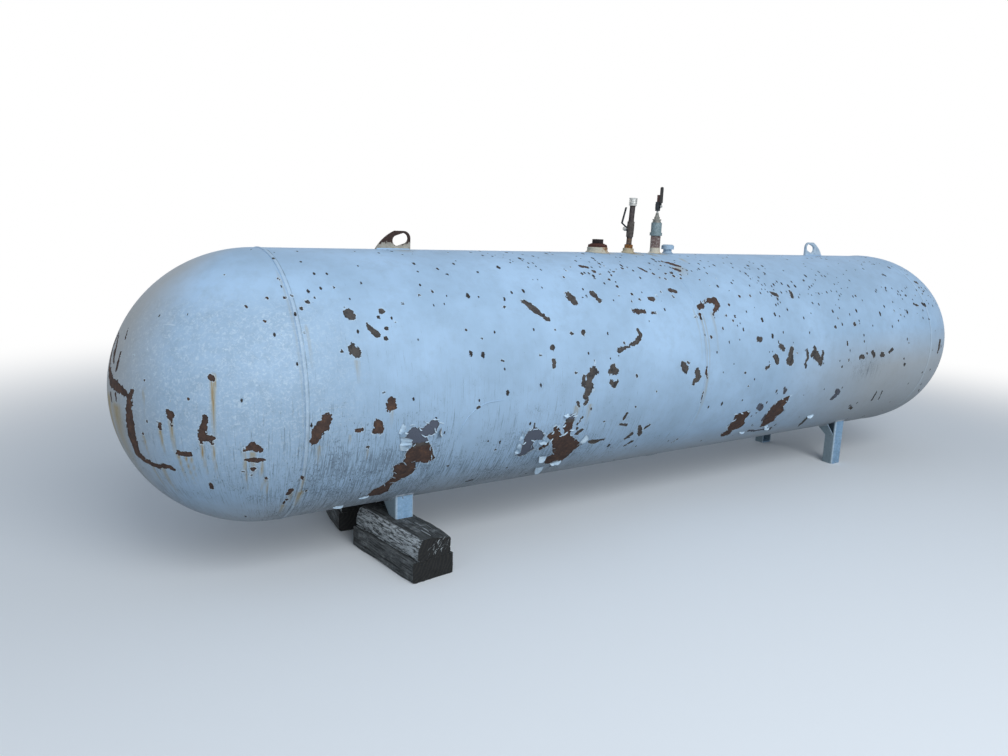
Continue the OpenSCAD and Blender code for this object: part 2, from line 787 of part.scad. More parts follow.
module low_cap() {
    edge = cap_h / 4;
    color("lightsteelblue") on_top(cap_x) translate([0, 0, neck_h]) {
        cylinder(d = cap_d, h = cap_h - edge, $fn = small_fn);
        translate([0, 0, cap_h - edge]) cylinder(d1 = cap_d, d2 = cap_d - 3 * edge, h = edge, $fn = small_fn);
    }
}

mirror([1, 0, 0]) head();  // head_left
head();  // head_right
mirror([1, 0, 0]) course(seam_left_angle, [[-plug_x, plug_bore], [-riser_x, riser_bore]]);  // shell_left
course(seam_right_angle, [[relief_x, relief_bore], [cap_x, neck_bore]]);  // shell_right
mirror([1, 0, 0]) head_weld();  // weld_left
weld_middle();
head_weld();  // weld_right
left_leg();  // leg_left_front
mirror([0, 1, 0]) left_leg();  // leg_left_rear
right_leg();  // leg_right_front
mirror([0, 1, 0]) right_leg();  // leg_right_rear
timber_upper();
timber_lower();
mirror([0, 1, 0]) timber_upper();  // timber_upper_rear
mirror([0, 1, 0]) timber_lower();  // timber_lower_rear
mirror([1, 0, 0]) lug(lug_left_x);  // lug_left
lug(lug_right_x);  // lug_right
half_coupling(plug_x, plug_d, plug_h, plug_bore);  // plug_coupling
plug_bushing();
pipe_plug();
half_coupling(riser_x, riser_d, riser_h, riser_bore, riser_lean);  // riser_coupling
riser_bushing();
nipple(bushing_top, lower_nipple_l);  // lower_nipple
valve_body();
valve_stem();
valve_lever();
lever_nut();
nipple(valve_top, upper_nipple_l);  // upper_nipple
hose_coupling();
half_coupling(relief_x, relief_d, relief_h, relief_bore);  // relief_coupling
relief_inlet();
relief_housing();
relief_bonnet();
bleed_pipe();
bleed_valve();
bleed_stem();
bleed_lever();
bleed_grip();
bleed_cap();
half_coupling(cap_x, neck_d, neck_h, neck_bore);  // cap_coupling
low_cap();
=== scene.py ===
import math
from functools import partial
import bpy
import numpy as np
from mathutils import Matrix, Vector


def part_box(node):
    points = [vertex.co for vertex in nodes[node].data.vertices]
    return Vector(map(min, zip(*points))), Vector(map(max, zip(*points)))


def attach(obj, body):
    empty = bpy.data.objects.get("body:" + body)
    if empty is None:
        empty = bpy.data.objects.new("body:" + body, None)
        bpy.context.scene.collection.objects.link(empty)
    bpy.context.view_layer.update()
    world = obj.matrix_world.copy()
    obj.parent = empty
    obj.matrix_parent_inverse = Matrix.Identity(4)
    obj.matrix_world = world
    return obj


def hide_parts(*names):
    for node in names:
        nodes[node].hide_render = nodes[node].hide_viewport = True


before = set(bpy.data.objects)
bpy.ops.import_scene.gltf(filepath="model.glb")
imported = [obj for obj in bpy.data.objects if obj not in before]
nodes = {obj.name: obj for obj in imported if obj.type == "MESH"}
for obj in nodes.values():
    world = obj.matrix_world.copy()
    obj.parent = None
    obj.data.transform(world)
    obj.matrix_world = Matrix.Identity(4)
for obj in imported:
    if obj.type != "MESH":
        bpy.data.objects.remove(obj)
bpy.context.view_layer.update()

# Sizes of the tank, read from the frame
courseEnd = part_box("shell_right")[1].x
headLow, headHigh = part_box("head_right")
tankRadius = (headHigh.y - headLow.y) / 2
axisHeight = headLow.z + tankRadius
domeX = headHigh.x - tankRadius
topHeight = axisHeight + tankRadius
tankCentre = np.array([0.0, 0.0, axisHeight])


# The low and the high corner of a node's box, and its middle
def boxCorners(name):
    return np.array([list(corner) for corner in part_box(name)])


def middle(name):
    return boxCorners(name).mean(axis=0)


# Materials: how nodes are added and fed

# Turns an sRGB code such as "#c0d0e0" into linear red, green, blue and alpha
def linear(code):
    channels = [int(code[i:i + 2], 16) / 255 for i in (1, 3, 5)]
    curve = [c / 12.92 if c <= 0.04045 else ((c + 0.055) / 1.055) ** 2.4 for c in channels]
    return (*curve, 1.0)


# Feeds a shader node: a socket is linked, a colour code or a number is set on the input itself
def feed(node, inputs):
    for key, value in inputs.items():
        if isinstance(value, bpy.types.NodeSocket):
            node.id_data.links.new(value, node.inputs[key])
        else:
            node.inputs[key].default_value = linear(value) if isinstance(value, str) else value


# The nodes used here, each by a word for what it does: its type, the sockets that values go to in turn, the
# output that is read, and its settings
nodeWords = {
    "place": ("TexCoord", (), "Object", {}),
    "value": ("Attribute", (), "Fac", {}),
    "direction": ("Attribute", (), "Vector", {}),
    "facing": ("NewGeometry", (), "Normal", {}),
    "lightPath": ("LightPath", (), 0, {}),
    "noise": ("TexNoise", ("Vector", "Scale", "Detail", "Roughness", "Distortion"), 0, {}),
    "cells": ("TexVoronoi", ("Vector", "Scale"), 0, {"voronoi_dimensions": "2D"}),
    "range": ("MapRange", (0, 1, 2, 3, 4), 0, {}),
    "mix": ("Mix", (0, 6, 7), 2, {"data_type": "RGBA"}),
    "blend": ("Mix", (0, 2, 3), 0, {}),
    "x": ("SeparateXYZ", (0,), "X", {}),
    "z": ("SeparateXYZ", (0,), "Z", {}),
    "channels": ("SeparateColor", (0,), 0, {}),
    "stretch": ("VectorMath", (0, 1), 0, {"operation": "MULTIPLY"}),
    "shift": ("VectorMath", (0, 1), 0, {"operation": "ADD"}),
    "length": ("VectorMath", (0,), "Value", {"operation": "LENGTH"}),
    "bump": ("Bump", ("Strength", "Distance", "Height"), 0, {}),
    "glow": ("Emission", ("Color", "Strength"), 0, {}),
    "sky": ("Background", ("Color", "Strength"), 0, {}),
    "mixShader": ("MixShader", (0, 1, 2), 0, {}),
}
for word, operation in (("times", "MULTIPLY"), ("plus", "ADD"), ("minus", "SUBTRACT"),
                        ("timesPlus", "MULTIPLY_ADD"), ("larger", "MAXIMUM"), ("absolute", "ABSOLUTE"),
                        ("exceeds", "GREATER_THAN"), ("sine", "SINE")):
    nodeWords[word] = ("Math", (0, 1, 2), 0, {"operation": operation})


# Adds one shader node with its settings and links, and gives the output that is read from it
def addNode(tree, word, *values, **settings):
    kind, sockets, output, usual = nodeWords[word]
    node = tree.nodes.new("ShaderNode" + kind)
    for key, value in {**usual, **settings}.items():
        setattr(node, key, value)
    feed(node, dict(zip(sockets, values)))
    return node.outputs[output]


# A new material, its Principled shader, and the function that adds nodes to its tree
def newMaterial(name):
    material = bpy.data.materials.new(name)
    material.use_nodes = True
    tree = material.node_tree
    return material, tree.nodes["Principled BSDF"], partial(addNode, tree)


# Gives a shader its colour and finish, and a bump of a depth in metres where a pattern is high
def finishShader(add, shader, colour, rough, height, strength, depth=0.0008, shine=0.3, metallic=0.0):
    bump = add("bump", strength, depth, height)
    feed(shader, {"Base Color": colour, "Roughness": rough, "Metallic": metallic, "Specular IOR Level": shine,
                  "Normal": bump})


# Gives a piece its only material
def dress(piece, material):
    piece.data.materials.clear()
    piece.data.materials.append(material)


# Meshes: grids of points worked out as whole arrays

# Writes one float or one vector for each point of a mesh
def setAttribute(piece, name, values):
    values = np.asarray(values, np.float32)
    kind, field = ("FLOAT", "value") if values.ndim == 1 else ("FLOAT_VECTOR", "vector")
    piece.data.attributes.new(name, kind, "POINT").data.foreach_set(field, values.ravel())


# The values of a grid in one list, with the mean of its first and of its last row where fans close it
def flatten(values, looped):
    flat = values.reshape(-1, *values.shape[2:])
    if looped:
        return flat
    return np.concatenate([flat, values[:1].mean(axis=1), values[-1:].mean(axis=1)])


# The faces of a grid whose columns join round in a ring, and whose rows join in a ring too or end in fans
def gridFaces(rows, columns, looped):
    row = np.arange(rows if looped else rows - 1)[:, None]
    column = np.arange(columns)[None, :]
    ahead = (row + 1) % rows * columns
    beside = (column + 1) % columns
    quads = np.stack(np.broadcast_arrays(row * columns + column, row * columns + beside, ahead + beside,
                                         ahead + column), axis=-1).reshape(-1, 4)
    if looped:
        return quads, np.empty((0, 3), int)
    ring = np.arange(columns)
    turn = (ring + 1) % columns
    end = (rows - 1) * columns
    first, last = np.full(columns, rows * columns), np.full(columns, rows * columns + 1)
    return quads, np.concatenate([np.stack([first, turn, ring], axis=1),
                                  np.stack([last, end + ring, end + turn], axis=1)])


# One mesh object from one or more grids of rows by columns by 3; extras are more grids of values to keep
# as attributes. Where the faces of a grid would enclose a negative volume they are turned over.
def makeSurface(name, grids, looped=False, extras={}):
    points, faces, start = [], [], 0
    for grid in grids:
        flat = flatten(grid, looped)
        quads, fans = gridFaces(*grid.shape[:2], looped)
        offset = flat - flat.mean(axis=0)
        a, b, c, d = (offset[quads[:, i]] for i in range(4))
        volume = (a * (np.cross(b, c) + np.cross(c, d))).sum()
        turned = 1 if volume > 0 else -1
        faces += (quads[:, ::turned] + start).tolist() + (fans[:, ::turned] + start).tolist()
        points.append(flat)
        start += len(flat)
    mesh = bpy.data.meshes.new(name)
    mesh.from_pydata(np.concatenate(points).tolist(), [], faces)
    mesh.polygons.foreach_set("use_smooth", [True] * len(mesh.polygons))
    mesh.update()
    piece = bpy.data.objects.new(name, mesh)
    bpy.context.scene.collection.objects.link(piece)
    for key, values in extras.items():
        setAttribute(piece, key, np.concatenate([flatten(v, looped) for v in values]))
    return piece


# Makes a finished piece take its material, ride the tank and stand for the nodes it replaces; the slot it is
# given is not used
def place(piece, material, slot, *replaced):
    dress(piece, material)
    if replaced:
        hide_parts(*replaced)
    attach(piece, "tank")


# Points of a surface turned about an axis: for each (distance, radius) of the profile a ring of points,
# base + distance * axis + radius * (cos a * side + sin a * third)
def turnedGrid(base, axis, profile, columns):
    side = np.cross(axis, (0.0, 1.0, 0.0))
    side /= np.linalg.norm(side)
    third = np.cross(axis, side)
    angle = np.arange(columns)[:, None] * 2 * math.pi / columns
    ring = np.cos(angle) * side + np.sin(angle) * third
    profile = np.array(profile)[:, :, None, None]
    return base + profile[:, 0] * np.asarray(axis) + profile[:, 1] * ring


# Soft hills: the mean of many sine waves of random direction, for points in metres
def hills(points, size, seed, waves=9):
    rng = np.random.default_rng(seed)
    directions = rng.normal(size=(waves, points.shape[-1]))
    directions *= (2 * math.pi / size) / np.linalg.norm(directions, axis=1)[:, None]
    phases = rng.uniform(0, 2 * math.pi, waves)
    return np.sin(points @ directions.T + phases).mean(axis=-1)


# Camera, set up as the photograph was taken

photoView = {
    "place": (-2.7243, -2.9867, axisHeight + 0.6393),
    "yaw": 56.82,
    "pitch": 11.12,
    "roll": 2.10,
    "focalLength": 28.0,
}


# Puts an object at a place, turned so that its own axes are the three unit vectors given
def putInScene(thing, spot, axes):
    thing.matrix_world = Matrix.Translation(spot) @ Matrix(axes).transposed().to_4x4()
    bpy.context.scene.collection.objects.link(thing)


# Yaw runs from +X towards +Y, pitch is downwards, and roll turns the picture about the view line
def makeCamera():
    yaw, pitch, roll = (math.radians(photoView[name]) for name in ("yaw", "pitch", "roll"))
    forward = np.array([math.cos(yaw) * math.cos(pitch), math.sin(yaw) * math.cos(pitch), -math.sin(pitch)])
    level = np.array([math.sin(yaw), -math.cos(yaw), 0.0])
    up = np.cross(level, forward)
    right = math.cos(roll) * level + math.sin(roll) * up
    above = math.cos(roll) * up - math.sin(roll) * level
    data = bpy.data.cameras.new("camera")
    data.lens = photoView["focalLength"]
    data.sensor_width = 36
    camera = bpy.data.objects.new("camera", data)
    putInScene(camera, photoView["place"], [right, above, -forward])
    bpy.context.scene.camera = camera


makeCamera()
print("camera made")


# Light, floor and background

studio = {
    "sky": "#dbeafb",
    "skyStrength": 0.41,
    "lampColour": (0.93, 0.97, 1.0),
    "lamps": {  # the place, the point it faces, its size in metres and its power in watts
        "key": ((-1.4, -6.2, 4.5), (0, 0, 0.7), 5.0, 365),
        "fill": ((-5.3, -2.7, 0.35), (-2, 0, 0.7), 2.0, 23),
    },
    "floorReach": 60.0,
    "floorSeen": "#f1f3f5",
    "floorBounce": "#9c9e9f",
    "fadeFrom": 2.4,
    "fadeTo": 6.8,
}


# A square area light that faces a point of the scene
def areaLight(name, spot, target, size, power):
    data = bpy.data.lights.new(name, "AREA")
    data.shape = "SQUARE"
    data.size = size
    data.energy = power
    data.color = studio["lampColour"]
    light = bpy.data.objects.new(name, data)
    back = np.array(spot, float) - np.array(target, float)
    back /= np.linalg.norm(back)
    side = np.cross((0, 0, 1), back)
    side /= np.linalg.norm(side)
    putInScene(light, spot, [side, np.cross(back, side), back])


# Lights the scene with a pale sky and shows plain white behind it to the camera
def makeWorld():
    world = bpy.data.worlds.new("studio")
    world.use_nodes = True
    bpy.context.scene.world = world
    tree = world.node_tree
    add = partial(addNode, tree)
    feed(tree.nodes["Background"], {"Color": studio["sky"], "Strength": studio["skyStrength"]})
    white = add("sky", (1, 1, 1, 1), 1.0)
    path = add("lightPath").node.outputs
    seen = add("larger", path["Is Camera Ray"], path["Is Glossy Ray"])
    seen = add("larger", seen, path["Is Transmission Ray"])
    mixed = add("mixShader", seen, tree.nodes["Background"].outputs[0], white)
    feed(tree.nodes["World Output"], {"Surface": mixed})


# A pale floor that fades into the white background away from the tank, and gives back less light than
# the camera sees, as the dark ground under such a tank does
def makeFloor():
    reach = studio["floorReach"]
    mesh = bpy.data.meshes.new("floor")
    mesh.from_pydata([(-reach, -reach, 0), (reach, -reach, 0), (reach, reach, 0), (-reach, reach, 0)], [],
                     [[0, 1, 2, 3]])
    floor = bpy.data.objects.new("floor", mesh)
    bpy.context.scene.collection.objects.link(floor)
    material, shader, add = newMaterial("pale floor")
    spot = add("place")
    path = add("lightPath").node.outputs
    seen = add("larger", path["Is Camera Ray"], path["Is Glossy Ray"])
    colour = add("mix", seen, studio["floorBounce"], studio["floorSeen"])
    feed(shader, {"Base Color": colour, "Roughness": 0.9, "Specular IOR Level": 0.1})
    away = add("length", spot)
    far = add("range", away, studio["fadeFrom"], studio["fadeTo"], interpolation_type="SMOOTHERSTEP")
    far = add("times", far, seen)
    glow = add("glow", (1, 1, 1, 1), 1.0)
    mixed = add("mixShader", far, shader.outputs[0], glow)
    feed(material.node_tree.nodes["Material Output"], {"Surface": mixed})
    dress(floor, material)


makeWorld()
makeFloor()
bpy.context.scene.view_settings.view_transform = "Standard"
for name, lamp in studio["lamps"].items():
    areaLight(name, *lamp)
print("studio made")


# Damage to the paint

# Chips of the shell: (metres along the tank, degrees round from the top to the front, half width in mm).
# Each chain of points is one chip. The first number of a group says what it bares, from red-brown rust at 0
# through dark grey-brown steel at 0.5 to grey primer at 1.
courseChips = {
    "blots high on the left course": (0.5, [
        [(-1.70, 52, 17), (-1.69, 54, 18)],
        [(-1.64, 58, 6), (-1.63, 60, 10), (-1.61, 62, 12)],
        [(-1.57, 52, 13)],
        [(-1.71, 67, 15), (-1.70, 69, 18)]]),
    "blots low on the left course": (0.15, [
        [(-1.82, 93, 20), (-1.83, 96, 21), (-1.85, 98, 23), (-1.86, 101, 16)],
        [(-1.58, 89, 17), (-1.58, 91, 20)],
        [(-1.63, 97, 18), (-1.62, 100, 17), (-1.64, 100, 10)],
        [(-1.71, 99, 9), (-1.69, 99, 8)]]),
    "dots on the left course": (0.5, [
        [(-1.59, 55, 7)], [(-1.57, 60, 8)], [(-1.58, 64, 8)], [(-1.75, 68, 7)], [(-1.66, 107, 8)],
        [(-1.61, 85, 6)], [(-1.48, 49, 6)], [(-1.40, 45, 6)], [(-1.34, 43, 7)], [(-1.53, 57, 6)],
        [(-1.11, 76, 7)], [(-1.05, 52, 8)], [(-0.93, 75, 7)], [(-1.25, 62, 6)], [(-1.19, 66, 6)],
        [(-1.83, 47, 9)], [(-1.86, 50, 8)], [(-1.80, 45, 6)], [(-1.88, 44, 6)], [(-1.72, 40, 6)],
        [(-1.22, 95, 9)], [(-1.15, 142, 7), (-1.12, 141, 8)]]),
    "long chip and its neighbours": (0.45, [
        [(-0.96, 49, 5), (-0.94, 51, 14), (-0.91, 54, 18), (-0.89, 56, 8), (-0.86, 59, 9)],
        [(-0.71, 46, 17), (-0.70, 50, 22)],
        [(-0.58, 46, 17), (-0.57, 48, 10), (-0.56, 50, 14)],
        [(-0.87, 78, 13), (-0.87, 80, 10)],
        [(-0.70, 66, 13)], [(-0.76, 66, 9)], [(-0.87, 72, 12)], [(-0.84, 64, 6)]]),
    "hook": (0.45, [
        [(-0.40, 66, 9), (-0.39, 69, 11), (-0.42, 72, 13), (-0.47, 74, 4), (-0.52, 75, 13)],
        [(-0.49, 72, 9)]]),
    "upright blot and crowns": (0.6, [
        [(-0.67, 84, 22), (-0.69, 87, 19), (-0.69, 92, 21), (-0.70, 95, 14)],
        [(-0.72, 86, 9), (-0.72, 90, 10)],
        [(-0.56, 83, 16), (-0.58, 85, 13), (-0.54, 85, 13)],
        [(-0.57, 90, 12), (-0.55, 92, 10), (-0.54, 90, 8)],
        [(-0.66, 79, 4), (-0.66, 81, 3)], [(-0.76, 84, 7)], [(-0.43, 88, 9)], [(-0.30, 97, 7)]]),
    "row near the middle seam": (0.35, [
        [(-0.40, 56, 8), (-0.37, 57, 13), (-0.33, 57, 9)],
        [(-0.29, 58, 6), (-0.27, 58, 8)], [(-0.27, 50, 13), (-0.25, 50, 12)], [(-0.33, 50, 8)],
        [(-0.38, 51, 7)], [(-0.12, 45, 12), (-0.09, 46, 13)], [(-0.12, 49, 8)], [(-0.18, 46, 6)],
        [(-0.36, 47, 7)], [(-0.22, 48, 6)], [(-0.42, 42, 8)], [(-0.44, 48, 6)]]),
    "flecks under the plug": (0.3, [
        [(-0.54, 26, 8), (-0.51, 27, 13)], [(-0.49, 31, 12)], [(-0.47, 33, 7)], [(-0.52, 36, 7)],
        [(-0.57, 33, 9)], [(-0.41, 34, 8)], [(-0.38, 31, 8)], [(-0.35, 29, 7)], [(-0.31, 28, 9)],
        [(-0.44, 37, 9)], [(-0.40, 26, 6)], [(-0.27, 27, 7)], [(-0.20, 28, 8), (-0.18, 31, 7)],
        [(-0.15, 33, 9)], [(-0.13, 36, 7)], [(-0.10, 37, 8)], [(-0.07, 33, 8)], [(-0.03, 35, 9)],
        [(0.00, 37, 9)], [(-0.64, 30, 7)], [(-0.60, 27, 6)], [(-0.68, 35, 6)]]),
    "chips beside the low cap": (0.05, [
        [(0.00, 21, 9), (0.04, 23, 16), (0.07, 26, 12)], [(0.01, 28, 10), (0.04, 30, 12)],
        [(-0.03, 32, 8)], [(0.02, 34, 9)], [(0.06, 33, 7)], [(-0.05, 25, 8)], [(0.09, 30, 7)],
        [(0.12, 38, 7)], [(0.16, 43, 6)], [(0.24, 37, 6)]]),
    "blots right of the seam": (0.15, [
        [(0.04, 53, 6), (0.09, 52, 11), (0.14, 52, 17)], [(0.14, 54, 18), (0.12, 57, 14), (0.09, 60, 7)],
        [(0.01, 56, 13), (0.04, 55, 13)], [(0.00, 60, 11)], [(-0.04, 61, 3), (-0.02, 61, 4)],
        [(0.17, 61, 8)], [(0.22, 55, 9)], [(0.32, 50, 9)], [(0.23, 62, 9)], [(0.40, 50, 8)],
        [(0.21, 64, 7)], [(0.13, 68, 7)], [(0.04, 72, 9)]]),
    "blots on the right course": (0.6, [
        [(0.36, 75, 14), (0.38, 75, 13)],
        [(0.56, 48, 8), (0.60, 50, 13)], [(0.72, 47, 7), (0.72, 49, 12), (0.71, 51, 12)],
        [(0.52, 79, 13), (0.54, 81, 15)], [(0.48, 85, 16), (0.50, 88, 14)],
        [(0.61, 81, 13), (0.60, 84, 18), (0.59, 88, 24), (0.61, 89, 20)], [(0.65, 84, 6)],
        [(0.73, 83, 9), (0.74, 87, 11), (0.72, 91, 8)],
        [(0.77, 86, 10), (0.79, 82, 9), (0.81, 87, 22), (0.85, 91, 16), (0.86, 85, 9)],
        [(0.42, 91, 11), (0.44, 90, 9)], [(0.27, 92, 7)], [(0.31, 100, 6)]]),
    "chips low beside the seam": (0.6, [
        [(-0.15, 85, 17), (-0.13, 87, 20)], [(-0.12, 84, 9)],
        [(-0.06, 89, 17), (-0.05, 92, 21), (-0.07, 94, 14)]]),
    "low blots on the right course": (0.8, [
        [(0.45, 114, 19), (0.48, 116, 17)], [(0.50, 112, 9)], [(0.46, 119, 8)], [(0.47, 122, 5)],
        [(0.53, 136, 9), (0.60, 138, 11), (0.68, 138, 6)], [(0.52, 131, 6)],
        [(0.60, 104, 9), (0.61, 106, 15)], [(0.54, 105, 9)],
        [(1.06, 110, 13), (1.09, 113, 17), (1.06, 116, 15)], [(0.72, 137, 9), (0.74, 141, 7)],
        [(0.55, 122, 9), (0.56, 126, 13)]]),
    "row on the far right": (0.5, [
        [(1.19, 90, 12), (1.22, 90, 14)], [(1.25, 88, 9)], [(1.30, 88, 13), (1.32, 90, 15)],
        [(1.39, 90, 15), (1.41, 90, 13)], [(1.46, 89, 10), (1.49, 87, 10)], [(1.15, 70, 12)],
        [(1.64, 98, 10)], [(1.32, 127, 12), (1.35, 129, 10)], [(1.47, 115, 6), (1.49, 123, 8)],
        [(1.53, 116, 4), (1.56, 124, 6)], [(0.97, 132, 8), (0.99, 138, 14), (1.01, 143, 8)],
        [(1.77, 59, 8)], [(1.79, 60, 9), (1.81, 60, 7)], [(1.86, 59, 8), (1.88, 61, 7)],
        [(1.92, 57, 6)], [(1.73, 53, 9)], [(1.83, 53, 6)], [(1.60, 66, 7)], [(1.55, 63, 6)],
        [(1.07, 80, 7), (1.07, 82, 6)], [(1.62, 94, 8)], [(1.65, 84, 5)], [(1.25, 52, 7)],
        [(1.09, 91, 9)], [(1.04, 95, 9)], [(0.98, 71, 9)], [(1.02, 66, 7)]]),
    "low flecks": (0.45, [
        [(-0.74, 98, 8), (-0.73, 100, 7)], [(-0.70, 99, 10), (-0.69, 97, 7)], [(-0.66, 102, 7)],
        [(-0.70, 106, 6), (-0.72, 110, 4)], [(-0.71, 112, 8)], [(-0.68, 113, 8), (-0.70, 115, 10)],
        [(-0.60, 122, 13), (-0.57, 123, 14), (-0.52, 121, 6)], [(-0.57, 110, 6)],
        [(-0.34, 116, 9), (-0.33, 119, 12), (-0.31, 122, 12)], [(-0.30, 118, 9), (-0.28, 116, 6)],
        [(-0.37, 121, 12), (-0.39, 124, 9)], [(-0.33, 127, 9), (-0.36, 130, 6)],
        [(-0.45, 107, 7), (-0.46, 110, 8)], [(-0.47, 113, 6), (-0.43, 114, 9)], [(-0.41, 104, 6)],
        [(-0.94, 108, 5), (-0.94, 106, 4)], [(-1.10, 118, 6)], [(-1.30, 124, 7)]]),
    "rust along the left seam": (0.0, [
        [(-1.89, 117, 7), (-1.88, 119, 4)], [(-1.87, 60, 5)], [(-1.86, 126, 6)]]),
    "rust along the middle seam": (0.0, [
        [(0.00, 87, 4), (0.00, 90, 8), (0.01, 93, 5)], [(0.00, 100, 4), (0.00, 106, 3)],
        [(-0.01, 132, 5), (-0.03, 136, 4)]]),
}
# Groups that the rear side shows as well, turned end for end
rearGroups = ("blots low on the left course", "long chip and its neighbours", "blots on the right course",
              "low blots on the right course", "row near the middle seam", "row on the far right")

# Large bare patches of the left course: outlines in metres along the tank and degrees round from the top,
# with the angle above which grey primer is left
coursePatches = {
    "patch above the left leg": (109, (
        (-1.40, 98), (-1.38, 100), (-1.39, 103), (-1.40, 105), (-1.43, 105), (-1.42, 108),
        (-1.40, 111), (-1.38, 116), (-1.37, 118), (-1.40, 120), (-1.43, 119), (-1.455, 118),
        (-1.44, 122), (-1.45, 126), (-1.48, 128), (-1.515, 131), (-1.515, 138), (-1.545, 140.5),
        (-1.60, 140), (-1.59, 134), (-1.555, 131), (-1.53, 126), (-1.53, 123), (-1.545, 120),
        (-1.525, 117.5), (-1.50, 117.5), (-1.51, 114), (-1.50, 111), (-1.475, 109), (-1.50, 107),
        (-1.52, 105), (-1.51, 102), (-1.49, 100), (-1.45, 101.5), (-1.43, 99))),
    "left lobe of the middle patch": (126, (
        (-0.99, 120), (-0.97, 116), (-0.975, 112), (-0.96, 108.5), (-0.93, 108), (-0.88, 112),
        (-0.87, 114.5), (-0.88, 116), (-0.915, 115), (-0.92, 118), (-0.90, 121), (-0.92, 123),
        (-0.94, 125), (-0.97, 125), (-0.99, 122))),
    "right lobe of the middle patch": (107, (
        (-0.865, 113), (-0.835, 112), (-0.84, 109), (-0.82, 109), (-0.80, 111.5), (-0.785, 114.5),
        (-0.77, 114), (-0.79, 110), (-0.785, 107), (-0.775, 104), (-0.755, 103), (-0.74, 105),
        (-0.74, 113), (-0.735, 115.5), (-0.70, 118), (-0.66, 121.5), (-0.65, 124), (-0.67, 127),
        (-0.68, 132), (-0.69, 136), (-0.735, 134.5), (-0.755, 137), (-0.78, 136), (-0.815, 130.5),
        (-0.78, 127.5), (-0.80, 123), (-0.825, 117), (-0.85, 116))),
    "slit in the lifted paint": (0, (
        (-0.88, 122), (-0.86, 119), (-0.83, 117.5), (-0.83, 119.5), (-0.85, 121.5), (-0.87, 123))),
    "low blot on the right course": (0, (
        (0.31, 135), (0.33, 131), (0.30, 127), (0.31, 122), (0.30, 118), (0.34, 117), (0.39, 116),
        (0.41, 119), (0.40, 123), (0.43, 127), (0.42, 131), (0.38, 132), (0.39, 137), (0.35, 139))),
    "low diagonal on the right course": (0, (
        (0.60, 134), (0.57, 128), (0.55, 121), (0.55, 117), (0.57, 113), (0.61, 111), (0.67, 109),
        (0.67, 114), (0.66, 117), (0.69, 121), (0.66, 125), (0.67, 129), (0.63, 133))),
}

# Chips of a head: (degrees from the front towards the crown, degrees up from the axis, half width in mm)
leftHeadChips = {
    "crescent": (0.1, [
        [(65, 7, 7), (67, 3, 16), (67.5, -1, 22), (68, -7, 25), (68.5, -13, 23), (69, -19, 19),
         (65, -21.5, 14), (58, -22.5, 9), (53, -22, 12), (50.5, -22.5, 8)]]),
    "rust at the crown": (0.1, [
        [(93, 24, 8), (94, 18, 12), (90, 11, 17), (84, 7, 22), (77, 6, 19), (70, 5, 12)],
        [(88, 18, 6), (84, 14, 8)], [(98, 20, 12), (104, 12, 16), (99, 4, 12)],
        [(84, 2, 10), (83, -1, 5)], [(78, 3, 9), (77, 0, 4)], [(81, 28, 4), (79, 24, 6)],
        [(89.5, 23, 9), (87, 20, 10), (85, 16, 9)], [(79, 18.5, 6), (79, 15, 9), (79.5, 12, 7)]]),
    "rust blots": (0.05, [
        [(48, 1, 8), (47, 0, 13), (47, -2, 8), (47, -4, 4)], [(52, -4, 10), (52, -6, 6)],
        [(61, -9, 7)], [(34, 0, 7), (34, -2, 9), (35, -5, 12), (36, -8, 14)],
        [(35, -8, 10), (32, -8, 12)], [(36, -10, 7)], [(32, -10, 7)],
        [(46, -15, 11), (41, -15, 9)], [(21, -13, 8), (18, -11, 14), (15, -13, 9)],
        [(21, -17, 7), (18, -17, 10), (14, -17, 7)], [(18, -21, 9)], [(32, 14, 11), (31, 13, 6)],
        [(2, -34, 10), (3, -36, 8)], [(3, -40, 7), (4, -43, 5)]]),
    "dots": (0.2, [
        [(22, -22, 6)], [(19, -24, 6)], [(36, -28, 5), (36, -31, 7)], [(13, -26, 7)], [(20, 41, 7)],
        [(36, 57, 6)], [(12, 35, 7)], [(10, 45, 6)], [(1, 55, 7)], [(1, 45, 7)], [(40, 6, 6)],
        [(47, 5, 3)], [(59, 11, 5)], [(61, 22, 4)], [(68, 19, 4)], [(58, -4, 5)], [(6, 30, 4)],
        [(3, 38, 5)], [(27, 24, 4)]]),
}
rightHeadChips = {
    "chips at the far end": (0.4, [
        [(11, 5, 15), (10, 1, 14), (9, -2, 9)], [(4, 48, 9), (7, 47, 12)], [(3, 43, 8)],
        [(6, 40, 9)], [(2, 38, 7)], [(8, 43, 8)], [(10, 36, 6)], [(5, -14, 7)], [(3, -25, 9)],
        [(7, -30, 7), (9, -32, 5)]]),
    "scattered chips round the end": (0.2, [
        [(35, 20, 9)], [(60, -5, 12), (64, -8, 8)], [(95, 10, 9)], [(120, 30, 11), (124, 28, 7)],
        [(100, -25, 13), (103, -29, 9)], [(150, 5, 10)], [(75, 40, 8)], [(135, -15, 14)]]),
}

